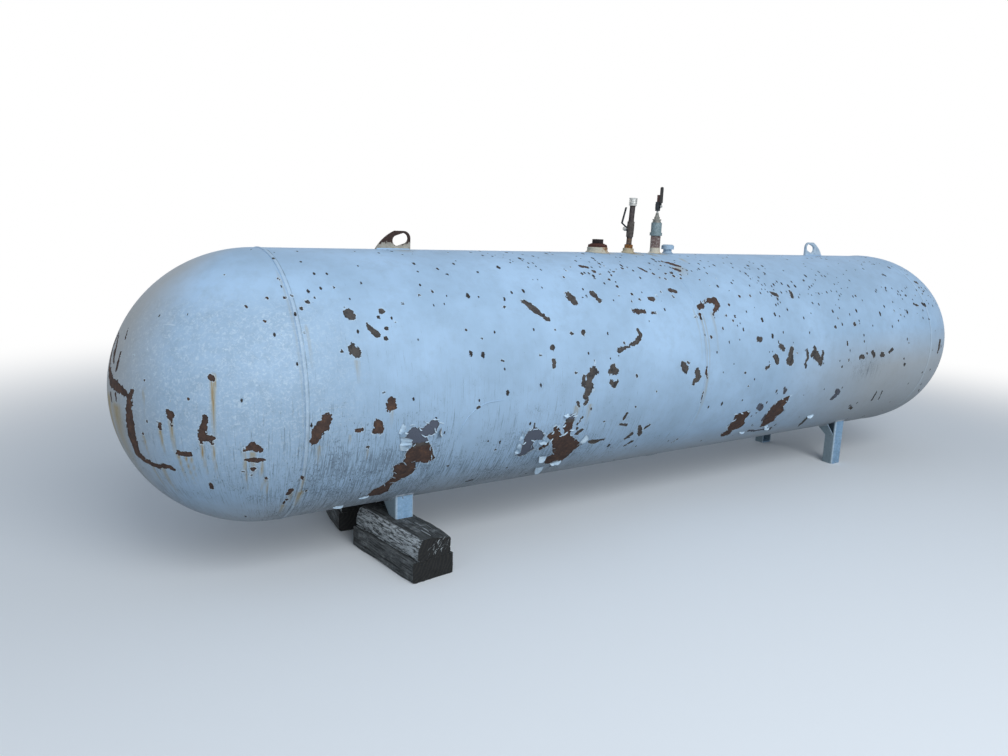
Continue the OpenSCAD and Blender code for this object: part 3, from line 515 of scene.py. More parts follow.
# Rust runs under chips: (metres along or degrees to the crown, degrees down from the top, length in
# metres, half width in mm, strength)
courseRuns = [(-1.70, 72, 0.10, 9, 0.3), (-1.58, 92, 0.10, 5, 0.4), (0.05, 27, 0.10, 40, 0.35),
              (-0.03, 58, 0.35, 5, 0.2), (0.08, 60, 0.30, 9, 0.22), (0.00, 60, 0.55, 5, 0.3),
              (-1.66, 108, 0.06, 4, 0.4), (-1.73, 101, 0.05, 4, 0.35), (-1.90, 35, 1.0, 5, 0.18),
              (-0.67, 100, 0.12, 14, 0.3), (-0.74, 100, 0.10, 16, 0.35), (-1.84, 104, 0.1, 9, 0.3),
              (-0.06, 2, 0.09, 40, 0.7), (0.12, 2, 0.08, 36, 0.6), (-1.88, 118, 0.1, 5, 0.6),
              (-0.24, 2, 0.08, 50, 0.5), (0.03, 4, 0.10, 26, 0.5), (-1.31, 2, 0.10, 50, 0.3),
              (0.16, 16, 0.08, 16, 0.35), (0.02, 62, 0.9, 4, 0.2), (-1.86, 58, 0.2, 5, 0.4),
              (0.01, 92, 0.30, 5, 0.3), (-1.88, 126, 0.12, 12, 0.5)]
leftHeadRuns = [(31, 76, 0.24, 8, 0.7), (47, 92, 0.16, 7, 0.65), (52, 95, 0.12, 6, 0.7),
                (61, 100, 0.10, 5, 0.6), (36, 99, 0.18, 5, 0.65), (32, 99, 0.17, 5, 0.65),
                (46, 106, 0.14, 5, 0.6), (43, 106, 0.16, 4, 0.6), (41, 106, 0.13, 4, 0.5),
                (21, 104, 0.20, 5, 0.5), (18, 104, 0.12, 10, 0.5), (15, 108, 0.22, 4, 0.5),
                (56, 112, 0.16, 10, 0.45), (62, 112, 0.15, 7, 0.4), (78, 92, 0.30, 40, 0.45),
                (88, 90, 0.35, 30, 0.5), (2, 124, 0.12, 8, 0.5), (59, 82, 0.15, 4, 0.4),
                (13, 116, 0.14, 5, 0.5), (100, 88, 0.3, 24, 0.5), (4, 134, 0.1, 10, 0.5)]


# Points of the shell at distances along the tank and angles round from the top to the front, standing off
# it by a height
def onCourse(x, degrees, height=0.0):
    angle = np.radians(degrees)
    radius = tankRadius + height
    return np.stack(np.broadcast_arrays(x, -radius * np.sin(angle), axisHeight + radius * np.cos(angle)), -1)


# The point of a head at an angle round from the front to the crown and an angle above the axis
def onHead(side, turn, rise):
    azimuth, lift = math.radians(turn), math.radians(rise)
    level = tankRadius * math.cos(lift)
    return np.array((side * (domeX + level * math.sin(azimuth)), -level * math.cos(azimuth),
                     axisHeight + tankRadius * math.sin(lift)))


# All chips as chains of (points, half widths in metres, what they bare)
def gatherChips():
    chains = []
    for name, (bare, group) in courseChips.items():
        for chip in group:
            widths = np.array([w for x, a, w in chip]) / 1000
            chains.append((onCourse(*np.array([(x, a) for x, a, w in chip]).T), widths, bare))
            if name in rearGroups:
                chains.append((onCourse(*np.array([(-x, -a) for x, a, w in chip]).T), widths, bare))
    for side, heads in ((-1, leftHeadChips), (1, rightHeadChips)):
        for bare, group in heads.values():
            for chip in group:
                widths = np.array([w for t, r, w in chip]) / 1000
                chains.append((np.array([onHead(side, t, r) for t, r, w in chip]), widths, bare))
    return chains


# Distance from each point to a chain of round-ended links, less the chain's half width there
def chainDistance(points, spots, widths):
    best = np.linalg.norm(points - spots[0], axis=1) - widths[0]
    for a, b, wide, narrow in zip(spots[:-1], spots[1:], widths[:-1], widths[1:]):
        link = b - a
        share = np.clip((points - a) @ link / (link @ link), 0, 1)
        gap = np.linalg.norm(points - a - share[:, None] * link, axis=1)
        best = np.minimum(best, gap - wide - share * (narrow - wide))
    return best


# Signed distance in the plane from each point to a closed outline, negative inside it
def outlineDistance(points, corners):
    best = np.full(len(points), np.inf)
    inside = np.zeros(len(points), bool)
    for a, b in zip(corners, np.roll(corners, -1, axis=0)):
        link = b - a
        share = np.clip((points - a) @ link / (link @ link), 0, 1)
        best = np.minimum(best, np.linalg.norm(points - a - share[:, None] * link, axis=1))
        crosses = (a[1] > points[:, 1]) != (b[1] > points[:, 1])
        with np.errstate(divide="ignore", invalid="ignore"):
            at = a[0] + (points[:, 1] - a[1]) * link[0] / link[1]
        inside ^= crosses & (points[:, 0] < at)
    return np.where(inside, -best, best)


# Rain paths on the tank: how far a point lies across them, and how far down them from the top.
# On the shell that is the distance along the tank and round it; on a head the angle about its upright
# diameter, from the front to the rear, and the angle down from its top, times the radius.
def rainPaths(points):
    x, y, z = points.T
    height = z - axisHeight
    past = np.abs(x) - domeX
    onDome = past > 0
    azimuth = np.arctan2(past, -y)
    across = np.where(onDome, np.sign(x) * (domeX + tankRadius * azimuth), x)
    onShell = tankRadius * np.arctan2(np.abs(y), height)
    down = np.where(onDome, tankRadius * np.arccos(np.clip(height / tankRadius, -1, 1)), onShell)
    return across, down


# How strongly rust has run over each point: each run fades out downwards and to both sides
def runStrength(points, across, down):
    total = np.zeros(len(points))
    headRuns = [(-domeX - tankRadius * math.radians(t), a, l, w, s) for t, a, l, w, s in leftHeadRuns]
    for spot, degrees, length, width, strength in courseRuns + headRuns:
        fall = (down - tankRadius * math.radians(degrees)) / length
        side = (across - spot) / (width / 1000)
        along = np.clip(1 - fall, 0, 1) * np.clip(fall * 12 + 1, 0, 1)
        total = np.maximum(total, strength * along * np.exp(-side ** 2) * (points[:, 1] < 0.05))
    return total


# Grime and flecks gather in bells: a share, the metres along the tank and how far the bell spreads there, and
# the part of the way down from the top and its spread
grimeBells = [(0.9, 1.28, 0.20, 0.54, 0.06), (0.3, -1.60, 0.30, 0.42, 0.12)]
fleckBells = [(0.65, -0.24, 0.46, 0.13, 0.07), (0.45, -0.22, 0.18, 0.27, 0.022),
              (0.30, -0.80, 0.45, 0.16, 0.10), (0.45, 0.54, 0.04, 0.24, 0.15),
              (0.22, -1.75, 0.30, 0.24, 0.08), (0.35, -0.9, 0.8, 0.06, 0.045)]


# A bell of height 1 round a middle value
def bell(values, centre, width):
    return np.exp(-((values - centre) / width) ** 2)


# A slope from 0 at one value to 1 at another
def ramp(values, nought, one):
    return np.clip((values - nought) / (one - nought), 0, 1)


# Adds to a piece of the vessel what the paint shader reads at each point: the signed distance to the
# nearest chip, how ragged its edge is and what it bares, and the shares of rust run, grime, chalky
# scuffing, yellow stain, and flecks; and its place on the rain paths
def weather(piece):
    count = len(piece.data.vertices)
    points = np.empty(count * 3)
    piece.data.vertices.foreach_get("co", points)
    points = points.reshape(-1, 3)
    across, down = rainPaths(points)
    below = down / (tankRadius * math.pi)
    front = points[:, 1] < 0
    rear = ~front & (np.abs(points[:, 0]) < domeX)
    chip = np.full(count, 0.1)
    ragged = np.zeros(count)
    bared = np.full(count, 0.4)
    for spots, widths, share in gatherChips():
        low = np.min(spots, axis=0) - 0.12
        high = np.max(spots, axis=0) + 0.12
        near = np.nonzero(((points > low) & (points < high)).all(axis=1))[0]
        gap = chainDistance(points[near], spots, widths)
        closer = gap < chip[near]
        chip[near] = np.where(closer, gap, chip[near])
        ragged[near] = np.where(closer, min(0.0085, 0.5 * widths.max()), ragged[near])
        bared[near] = np.where(closer, share, bared[near])
    flat = np.stack([across, down], axis=1)
    near = np.nonzero(front & (np.abs(across) < domeX) & (np.abs(across) > 0.25) & (below > 0.5))[0]
    for primerAngle, outline in coursePatches.values():
        gap = outlineDistance(flat[near], np.array(outline) * (1, tankRadius * math.pi / 180))
        closer = gap < chip[near]
        upper = np.clip((tankRadius * math.radians(primerAngle) - down[near]) / 0.03 + 0.5, 0, 1)
        chip[near] = np.where(closer, gap, chip[near])
        ragged[near] = np.where(closer, 0.0045, ragged[near])
        bared[near] = np.where(closer, 0.12 + 0.78 * upper, bared[near])
    patchy = 0.5 + 0.9 * hills(points, 0.7, 11) + 0.5 * hills(points, 0.25, 12)
    fromFront = -across - domeX  # round the left head from its seam
    grime = ramp(below, 0.38, 0.70) * np.clip((0.3 - across) / 1.4, 0.22, 1) * (0.8 + 0.8 * patchy)
    grime *= 1 - 0.25 * ramp(np.abs(across), domeX, domeX + 0.2)
    grime = np.maximum(grime, 0.4 * ramp(below, 0.05, 0))
    for share, x, spread, way, depth in grimeBells:
        grime = np.maximum(grime, share * bell(across, x, spread) * bell(below, way, depth))
    grime *= 1 - 0.8 * bell(across, -1.25, 0.05) * bell(below, 0.59, 0.05)
    scuff = ramp(fromFront, -0.3, 0) * ramp(below, 0.22, 0.30) * ramp(below, 0.72, 0.52)
    stain = ramp(fromFront, 0.44, 0.74) * np.clip((1.25 - fromFront) / 0.35, 0.2, 1) * ramp(below, 0.02, 0.17)
    stain = np.maximum(stain, 0.8 * ramp(below, 0.70, 0.82))
    stain = np.maximum(stain, 0.95 * ramp(across, 0.5, 1.4) * ramp(below, 0.41, 0.54))
    flecking = 0.035 + 0.30 * ramp(across, 0, 0.3) * bell(below, 0.24, 0.20)
    flecking += 0.22 * ramp(across, 1.2, 1.6) * bell(below, 0.28, 0.10)
    for share, x, spread, way, depth in fleckBells:
        flecking += share * bell(across, x, spread) * bell(below, way, depth)
    flecking *= (0.75 + 1.2 * hills(points, 0.35, 13)) * (1 - 0.8 * ramp(fromFront, 0, 0.1))
    values = {"chip": chip, "ragged": ragged, "bared": bared, "runs": runStrength(points, across, down),
              "grime": np.clip(grime, 0, 1), "scuff": scuff, "stain": stain, "flecking": flecking,
              "paths": np.stack([across, np.where(rear, -down, down), np.zeros(count)], axis=1)}
    for name, value in values.items():
        setAttribute(piece, name, value)


# Weathered white alkyd paint on rolled steel plate. It has gone chalky, so it is matt and cool in the open
# shade, and it chips in sharp-edged islands down to primer and brown rust. Rain has combed mildew down its
# sides. Colours come first, then the size in mm, detail, roughness and distortion of each noise.
paintLook = {
    "fresh": "#b1cfec",
    "worn": "#a0bcd6",
    "dull": "#93aabf",
    "chalk": "#cbdce9",
    "edge": "#cfe0ec",
    "mildew": "#3f4a56",
    "film": "#7f8c97",
    "beige": "#b6afa3",
    "run": "#a28f5a",
    "runCore": "#7a4d26",
    "rustDark": "#393130",
    "rustMiddle": "#54423b",
    "rustBright": "#6d513f",
    "steelDark": "#2d3034",
    "steelLight": "#57524f",
    # painted shade inside the edges of the chips
    "chipEdgeShade": "#1f1c1d",
    "primer": "#5c6270",
    "noises": {
        "coarse": (22, 3, 0.6, 0.6),
        "fine": (6, 2, 0.6, 0),
        "cloud": (450, 4, 0.6, 0),
        "mottle": (60, 5, 0.7, 0),
        "rubbed": (10, 4, 0.7, 0.8),
        "scratch": (10, 2, 0.7, 0.6),
        "streak": (5.5, 4, 0.75, 0),
        "speck": (5, 3, 0.8, 0),
        "scale": (22, 5, 0.75, 0),
        "grain": (4, 3, 0.6, 0),
    },
    "fleckMm": 52,
    "pepperMm": 23,
    "bandHalf": 0.0068,
    "seamLine": 0.0026,
}


# Flecks in the cells of a Voronoi pattern: a cell holds one where its random number is under a share, and a
# second number sets its radius, from small to large as a part of the cell. They are drawn out downwards.
def flecks(add, paths, wobble, share, sizeMm, small, large):
    drawn = add("stretch", paths, (1.0, 0.62, 1.0))
    cells = add("cells", drawn, 1000 / sizeMm).node
    chance = add("channels", cells.outputs["Color"]).node
    held = add("exceeds", share, chance.outputs[0])
    radius = add("range", chance.outputs[1], 0.0, 1.0, small, large)
    away = add("timesPlus", wobble, 0.22, cells.outputs["Distance"])
    away = add("minus", away, radius)
    mask = add("range", away, 0.012, -0.012)
    return add("times", mask, held)


def makePaint():
    look = paintLook
    material, shader, add = newMaterial("chalky white paint on steel plate")
    spot = add("place")
    paths = add("direction", attribute_name="paths")
    chip, ragged, bared, grime, scuff, stain, flecking, rustRun = (
        add("value", attribute_name=name)
        for name in ("chip", "ragged", "bared", "grime", "scuff", "stain", "flecking", "runs"))
    # Noises on the surface, or drawn out along the tank or down the rain paths
    drawn = {name: add("stretch", paths, (*ratio, 1.0)) for name, ratio in
             (("scratch", (0.12, 1.0)), ("streak", (1.0, 0.045)), ("speck", (1.0, 0.4)))}
    noise = {name: add("noise", drawn.get(name, spot), 1000 / sizeMm, *values)
             for name, (sizeMm, *values) in look["noises"].items()}
    mottle, streak, scale = noise["mottle"], noise["streak"], noise["scale"]
    # The listed chips, with outlines broken by coarse and fine noise
    coarse, fine = (add("minus", noise[name], 0.5) for name in ("coarse", "fine"))
    edge = add("timesPlus", add("times", coarse, ragged), 4.2, chip)
    edge = add("timesPlus", fine, 0.008, edge)
    chips = add("range", edge, 0.0004, -0.0004)
    # Small flecks and finer pepper where the density calls for them
    large = flecks(add, paths, fine, flecking, look["fleckMm"], 0.05, 0.16)
    pepper = flecks(add, paths, fine, add("times", flecking, 0.45), look["pepperMm"], 0.09, 0.23)
    small = add("larger", large, pepper)
    bare = add("larger", small, chips)
    # The film's colour in wide clouds, dulled by small mottles
    colour = add("mix", add("range", noise["cloud"], 0.36, 0.66), look["worn"], look["fresh"])
    dull = add("timesPlus", scuff, 0.45, add("range", mottle, 0.45, 0.75, 0.0, 0.4), use_clamp=True)
    # Chalky abrasion on the left head: fine pale flecks, and long level scratches
    rubbed = add("range", noise["rubbed"], 0.50, 0.66, 0.0, 0.6)
    scratch = add("range", noise["scratch"], 0.69, 0.73, 0.0, 0.6)
    rubbed = add("times", add("larger", rubbed, scratch), scuff)
    # Yellowed film at the crown, along the bottom and at the far end
    yellow = add("times", stain, 0.62)
    # Grime: a grey film in rain streaks, and dark mildew specks that gather in clusters along them
    soft = add("times", add("range", streak, 0.38, 0.72, 0.15, 1.0), grime)
    soft = add("times", soft, 0.4, use_clamp=True)
    sharp = add("minus", streak, add("timesPlus", grime, -0.20, 0.68))
    sharp = add("range", sharp, 0.0, 0.10, 0.0, 0.5)
    speck = add("timesPlus", mottle, 0.45, noise["speck"])
    speck = add("minus", speck, add("timesPlus", grime, -0.20, 0.95))
    speck = add("range", speck, 0.0, 0.10, 0.0, 0.7)
    dark = add("larger", sharp, speck)
    # The beads of the heads' girth welds are rubbed pale, and dirt has settled in a line on the courses' side
    past = add("minus", add("absolute", add("x", spot)), courseEnd)
    band = add("range", add("absolute", past), look["bandHalf"], look["bandHalf"] * 0.8, 0.0, 0.28)
    beside = add("absolute", add("plus", past, look["bandHalf"]))
    line = add("range", beside, look["seamLine"], look["seamLine"] / 3, 0.0, 0.5)
    line = add("times", line, add("range", mottle, 0.3, 0.62))
    # Rust that has run down over the paint, yellow at first and brown where it is thick
    runs = add("times", rustRun, add("range", streak, 0.35, 0.65, 0.4, 1.0))
    thin = add("range", runs, 0.03, 0.35, 0.0, 0.85)
    thick = add("range", runs, 0.28, 0.6, 0.0, 0.8)
    # The broken edge of the film shows paler beside each chip: partly the fresh break, and partly a painted
    # highlight where the lifted edge catches the light
    rim = add("range", edge, 0.0032, 0.0012, 0.0, 0.75)
    rim = add("times", rim, add("range", mottle, 0.35, 0.6))
    # These lie over each other in this order
    for share, name in ((dull, "dull"), (rubbed, "chalk"), (yellow, "beige"), (soft, "film"),
                        (dark, "mildew"), (band, "chalk"), (line, "mildew"), (thin, "run"),
                        (thick, "runCore"), (rim, "edge")):
        colour = add("mix", share, colour, look[name])
    # Bare metal: red-brown rust, dark grey-brown steel or grey primer, each cloudy
    cloudy = add("range", scale, 0.32, 0.55)
    rust = add("mix", cloudy, look["rustDark"], look["rustMiddle"])
    rust = add("mix", add("range", scale, 0.56, 0.70), rust, look["rustBright"])
    steel = add("mix", cloudy, look["steelDark"], look["steelLight"])
    bared = add("blend", small, bared, add("larger", bared, 0.5))
    held = add("timesPlus", scale, 0.6, bared)
    metal = add("mix", add("range", held, 0.55, 0.75), rust, steel)
    metal = add("mix", add("range", held, 1.02, 1.12), metal, look["primer"])
    # Painted shade: just inside the edge of each chip the bare metal is drawn darker, as the step of the film
    # shades it
    metal = add("mix", add("range", edge, -0.0045, -0.0004, 0.0, 0.6), metal, look["chipEdgeShade"])
    colour = add("mix", bare, colour, metal)
    # Relief: the step of the film at each chip, its chalky grain, and pitted rust
    relief = add("timesPlus", noise["grain"], 0.35, add("times", bare, -1.3))
    relief = add("timesPlus", add("times", fine, bare), 1.4, relief)
    rough = add("range", bare, 0.0, 1.0, 0.6, 0.92)
    finishShader(add, shader, colour, rough, relief, 0.9, 0.001, 0.28)
    return material


paint = makePaint()


# Vessel skins

skin = {
    "step": 0.009,
    "innerStep": 0.06,
    "wall": 0.0068,
    "headWall": 0.005,
    "waveDepth": 0.0011,
    "waveSize": 0.55,
}
ringCount = int(round(2 * math.pi * tankRadius / skin["step"]))


# Moves points of the outer skin inwards by gentle hills, as rolled plate has, and not at the seams
def dent(points, seams):
    offset = points - tankCentre
    offset[..., 0] = np.sign(points[..., 0]) * np.clip(np.abs(points[..., 0]) - domeX, 0, None)
    out = offset / np.linalg.norm(offset, axis=-1, keepdims=True)
    wave = hills(points * (0.6, 1, 1), skin["waveSize"], 3)
    away = np.min([np.abs(points[..., 0] - seam) for seam in seams], axis=0)
    depth = skin["waveDepth"] * np.clip(0.5 + 0.9 * wave, 0, None) * np.clip(away / 0.05, 0, 1)
    return points - out * depth[..., None]


# One rolled course between two seams: the outer skin, and a plain inner one behind it
def courseSkin(name, first, last):
    outer = np.linspace(first, last, int(round((last - first) / skin["step"])))
    inner = np.linspace(last, first, int(round((last - first) / skin["innerStep"])))
    profile = [(x, tankRadius) for x in outer] + [(x, tankRadius - skin["wall"]) for x in inner]
    grid = turnedGrid(tankCentre, (1.0, 0.0, 0.0), profile, ringCount)
    grid[:len(outer)] = dent(grid[:len(outer)], (first, last))
    return makeSurface(name, [grid], looped=True)


# One head: a dome outside and one inside, joined at the rim; the angle rises from the crown to the rim
def headSkin(name, side):
    outerRise = np.linspace(0.01, math.pi / 2, int(round(tankRadius * math.pi / 2 / skin["step"])))
    innerRise = np.linspace(math.pi / 2, 0.05, 14)
    innerRadius = tankRadius - skin["headWall"] * 1.6
    profile = [(side * (domeX + tankRadius * math.cos(a)), tankRadius * math.sin(a)) for a in outerRise]
    profile += [(side * courseEnd, tankRadius - skin["wall"] * 0.6), (side * courseEnd, innerRadius)]
    profile += [(side * (domeX + innerRadius * math.cos(a)), innerRadius * math.sin(a)) for a in innerRise]
    grid = turnedGrid(tankCentre, (1.0, 0.0, 0.0), profile, ringCount)
    grid[:len(outerRise)] = dent(grid[:len(outerRise)], (side * domeX,))
    return makeSurface(name, [grid])


def makeVessel():
    pieces = {
        "shell_left": courseSkin("skin_shell_left", -courseEnd, -0.002),
        "shell_right": courseSkin("skin_shell_right", 0.002, courseEnd),
        "head_left": headSkin("skin_head_left", -1),
        "head_right": headSkin("skin_head_right", 1),
    }
    for node, piece in pieces.items():
        weather(piece)
        place(piece, paint, "chalky_paint", node)


makeVessel()
print("vessel made")


# Weld beads

welds = {
    "beadRadius": 0.007,
    "beadShare": 0.97,  # the bead's own radius as a part of that, since its ripples rise above it
    "beadCrown": 0.0024,
    "seamCrown": 0.002,
    "seamAngles": {"left": 62, "right": 38},  # degrees from the top towards the rear
    "rippleLength": 0.009,  # drawn coarser than the real 4 mm so that it shows
    "rippleDepth": 0.0007,
    "legRadius": 0.0045,
    "legBend": 0.012,
    "flangeStarts": {"left": 0.012, "right": 0.058},  # where a flange's bead starts behind the front plate
    "lugRadius": 0.0045,
}


# Unit vectors from the tank's axis to points of a path
def outwards(path):
    out = (path - tankCentre) * (0, 1, 1)
    return out / np.linalg.norm(out, axis=1, keepdims=True)


# A weld bead carried along a path: round the path's point at the travel s, at the angle a of its section,
# lies path(s) + radius(s, a) * (cos a * out(s) + sin a * side(s)). The radius swells in crescents,
# |sin(pi * (s / ripple - 0.4 cos a))|, and an open bead shrinks to nothing at both ends, over a length of
# taper times its radius. A thin one is smooth, for folds and splinters.
def weldBead(path, out, radius, closed=False, columns=10, taper=1):
    if closed:
        ahead = np.roll(path, -1, axis=0) - np.roll(path, 1, axis=0)
    else:
        ahead = np.gradient(path, axis=0)
    side = np.cross(ahead, out)
    side /= np.linalg.norm(side, axis=1, keepdims=True)
    stride = np.linalg.norm(ahead, axis=1) / 2 if closed else np.linalg.norm(ahead, axis=1)
    travel = np.cumsum(stride)[:, None]
    angle = np.arange(columns)[None, :] * 2 * math.pi / columns
    ripple = np.abs(np.sin(math.pi * (travel / welds["rippleLength"] - 0.4 * np.cos(angle))))
    uneven = 1 + 0.10 * np.sin(travel * 37) * np.sin(travel * 11 + 1)
    reach = radius * uneven + welds["rippleDepth"] * (ripple - 0.6) * (radius > 0.003)
    if not closed:
        toEnd = np.minimum(travel - travel[0], travel[-1] - travel)
        reach = reach * np.sqrt(np.clip(toEnd / (taper * radius), 0.01, 1))
    section = np.cos(angle)[..., None] * out[:, None, :] + np.sin(angle)[..., None] * side[:, None, :]
    return path[:, None, :] + reach[..., None] * section


# The girth weld at a distance along the tank, a ring just under the shell's surface
def girthBead(x):
    angle = np.arange(1500) * 2 * math.pi / 1500
    out = np.stack([np.zeros_like(angle), np.sin(angle), np.cos(angle)], axis=1)
    ringRadius = tankRadius + welds["beadCrown"] - welds["beadRadius"]
    path = tankCentre + (x, 0, 0) + ringRadius * out
    return weldBead(path, out, welds["beadRadius"] * welds["beadShare"], closed=True)


# The long seam of a course between two distances along the tank
def longBead(first, last, degrees):
    x = np.linspace(first, last, 900)
    sunk = welds["seamCrown"] - welds["beadRadius"]
    path = onCourse(x, np.full(x.shape, -degrees), sunk)
    return weldBead(path, outwards(path), welds["beadRadius"] * welds["beadShare"])


# The fillet on the shell round a leg's front plate and along its two flanges. The outline is the plate's
# straight front with its two round bends, and each flange from a start depth to its end.
def legBeads(leg, flangeStart):
    low, high = boxCorners(leg)
    side = -1 if low[1] < 0 else 1
    outerY = max(abs(low[1]), abs(high[1]))
    innerY = min(abs(low[1]), abs(high[1]))
    bend = welds["legBend"]
    quarter = np.linspace(0, math.pi / 2, 8)
    corner = bend * np.stack([-np.cos(quarter), np.sin(quarter)], axis=1)
    left = corner + (low[0] + bend, outerY - bend)
    right = corner[::-1] * (-1, 1) + (high[0] - bend, outerY - bend)
    straight = np.stack([np.linspace(left[-1, 0], right[0, 0], 30), np.full(30, outerY)], axis=1)[1:-1]
    outlines = [np.concatenate([left, straight, right])]
    for x in (low[0], high[0]):
        depths = np.linspace(outerY - flangeStart, innerY, 40)
        outlines.append(np.stack([np.full(40, x), depths], axis=1))
    grids = []
    for outline in outlines:
        y = outline[:, 1]
        path = np.stack([outline[:, 0], side * y, axisHeight - np.sqrt(tankRadius ** 2 - y ** 2)], axis=1)
        grids.append(weldBead(path, outwards(path), welds["legRadius"], columns=8))
    return grids


# The two fillets along the foot of a lug
def lugBeads(lug):
    low, high = boxCorners(lug)
    grids = []
    for y in (low[1], high[1]):
        x = np.linspace(low[0] + 0.002, high[0] - 0.002, 70)
        path = np.stack([x, np.full(x.shape, y), np.full(x.shape, topHeight)], axis=1)
        out = np.tile((0.0, 0.0, 1.0), (len(x), 1))
        grids.append(weldBead(path, out, welds["lugRadius"], columns=8))
    return grids


def makeWelds():
    girths = {"weld_left": -courseEnd - 0.001, "weld_middle": 0.0, "weld_right": courseEnd + 0.001}
    for node, x in girths.items():
        piece = makeSurface("bead_" + node, [girthBead(x)], looped=True)
        weather(piece)
        place(piece, paint, "chalky_paint", node)
    angles = welds["seamAngles"]
    seams = [longBead(-courseEnd + 0.008, -0.008, angles["left"]),
             longBead(0.008, courseEnd - 0.008, angles["right"])]
    legs = [grid for end, start in welds["flangeStarts"].items() for face in ("front", "rear")
            for grid in legBeads("leg_%s_%s" % (end, face), start)]
    lugs = lugBeads("lug_left") + lugBeads("lug_right")
    for name, grids in (("long_seams", seams), ("leg_welds", legs), ("lug_welds", lugs)):
        piece = makeSurface(name, grids)
        weather(piece)
        place(piece, paint, "chalky_paint")


makeWelds()
print("welds made")


# Lifted paint

# Flakes that curl off the shell: (metres along the tank and degrees round from the top of the hinge's middle,
# length of the hinge and reach of the flake in mm, direction of the reach in degrees from +X and downwards
# positive, and how far the tip has curled up in degrees)
flakes = [
    (-1.545, 100.0, 40, 28, 20, 100), (-1.540, 106.0, 34, 50, 350, 60), (-1.535, 109.5, 26, 36, 340, 50),
    (-1.368, 104.0, 34, 32, 165, 100), (-1.610, 139.0, 40, 9, 75, 60), (-1.690, 146.5, 40, 14, 90, 80),
    (-0.830, 127.5, 40, 38, 95, 40), (-0.795, 138.0, 44, 48, 92, 30), (-0.655, 119.0, 46, 24, 20, 40),
    (-0.794, 103.0, 22, 18, 60, 90), (-1.000, 111.5, 46, 20, 10, 120), (-0.998, 118.5, 54, 28, 5, 110),
    (-0.727, 135.0, 54, 20, 85, 70), (-0.868, 117.0, 44, 14, 100, 60), (0.970, 128.5, 46, 20, 75, 90),
    (0.680, 136.5, 34, 14, 90, 80), (0.480, 136.0, 40, 14, 100, 80), (0.640, 133.0, 24, 14, 60, 90),
]
flakeLook = {"film": 0.0011, "across": 15, "out": 9, "firstLift": 12, "crumbHingeMm": (14, 34),
             "crumbReachMm": (3, 7), "crumbCurl": (25, 60)}


# A curled flake of paint. From each point of its hinge it follows an arc whose slope grows evenly from the
# first lift to the curl at its tip, so along = integral of cos(slope) and height = integral of sin(slope).
# Its reach is a half circle over the hinge, times a factor that varies in straight pieces. The grid goes out
# over the front and returns over the back, one film thickness behind it.
def curledFlake(x, degrees, hinge, reach, turn, curl, seed):
    rng = np.random.default_rng(seed)
    u = np.linspace(-1, 1, flakeLook["across"])[:, None]
    knots = np.linspace(-1, 1, 5)
    length = np.interp(u, knots, rng.uniform(0.85, 1.1, 5)) * (0.25 + 0.75 * np.sqrt(1 - u ** 2))
    bow = np.interp(u, knots, rng.uniform(-0.1, 0.1, 5))
    v = np.linspace(0, 1, flakeLook["out"])[None, :]
    slope = np.radians(flakeLook["firstLift"] + (curl - flakeLook["firstLift"]) * v)
    along, height = (np.cumsum(part, axis=1) / flakeLook["out"] * length * reach / 1000
                     for part in (np.cos(slope), np.sin(slope)))
    film = flakeLook["film"]
    along = np.concatenate([along, (along + film * np.sin(slope))[:, ::-1]], axis=1)
    height = np.concatenate([height + film, (height + film - film * np.cos(slope))[:, ::-1]], axis=1)
    back = np.concatenate([v * 0, v * 0 + 1], axis=1) + 0 * u
    sideways = (u + 0 * along) * hinge / 2000
    along = along + bow * hinge / 1000
    direction = math.radians(turn)
    level = along * math.cos(direction) - sideways * math.sin(direction)
    down = along * math.sin(direction) + sideways * math.cos(direction)
    return onCourse(x + level, degrees + np.degrees(down / tankRadius), height), back


# The film curls up along the outlines of the large patches too, hinged at the outline itself
def makeFlakes():
    sheets = [curledFlake(*flake, seed) for seed, flake in enumerate(flakes)]
    rng = np.random.default_rng(7)
    for primerAngle, outline in coursePatches.values():
        centre = np.mean(outline, axis=0)
        for x, degrees in outline:
            inward = math.degrees(math.atan2((centre[1] - degrees) * 0.009, centre[0] - x))
            spot = (x + rng.normal(0, 0.004), degrees + rng.normal(0, 0.5))
            sheets.append(curledFlake(*spot, rng.uniform(*flakeLook["crumbHingeMm"]),
                                      rng.uniform(*flakeLook["crumbReachMm"]), inward + rng.uniform(-40, 40),
                                      rng.uniform(*flakeLook["crumbCurl"]), int(rng.integers(10 ** 6))))
    grids, backs = zip(*sheets)
    piece = makeSurface("lifted_paint", grids, extras={"underside": backs})
    place(piece, makeFlakePaint(), "chalky_paint")


# The ridge of a long blister in the paint above the left leg, in metres along and degrees round from the top
blisterRidge = ((-1.304, 110), (-1.29, 106), (-1.28, 102), (-1.26, 98.5), (-1.23, 95.6), (-1.20, 94),
                (-1.17, 93.2), (-1.10, 93))


# It is a thin smooth bead with long points
def makeBlister():
    steps = np.linspace(0, 1, 80)
    knots = np.linspace(0, 1, len(blisterRidge))
    x, degrees = (np.interp(steps, knots, values) for values in zip(*blisterRidge))
    path = onCourse(x, degrees, -0.0002)
    piece = makeSurface("blister_ridge", [weldBead(path, outwards(path), 0.0023, columns=8, taper=30)])
    weather(piece)
    place(piece, paint, "chalky_paint")


# The same film seen by itself: white and chalky in front, grey and beige with old primer behind
def makeFlakePaint():
    material, shader, add = newMaterial("lifted film of white paint")
    spot = add("place")
    share = add("range", add("noise", spot, 1000 / 25, 4.0, 0.65), 0.35, 0.65)
    front = add("mix", share, "#acc5da", "#cfe3f1")
    back = add("mix", share, "#787a7c", "#9a9a96")
    colour = add("mix", add("value", attribute_name="underside"), front, back)
    finishShader(add, shader, colour, 0.65, add("noise", spot, 1000 / 4, 2.0), 0.5, 0.001)
    return material


makeFlakes()
makeBlister()
print("lifted paint made")


# Timbers

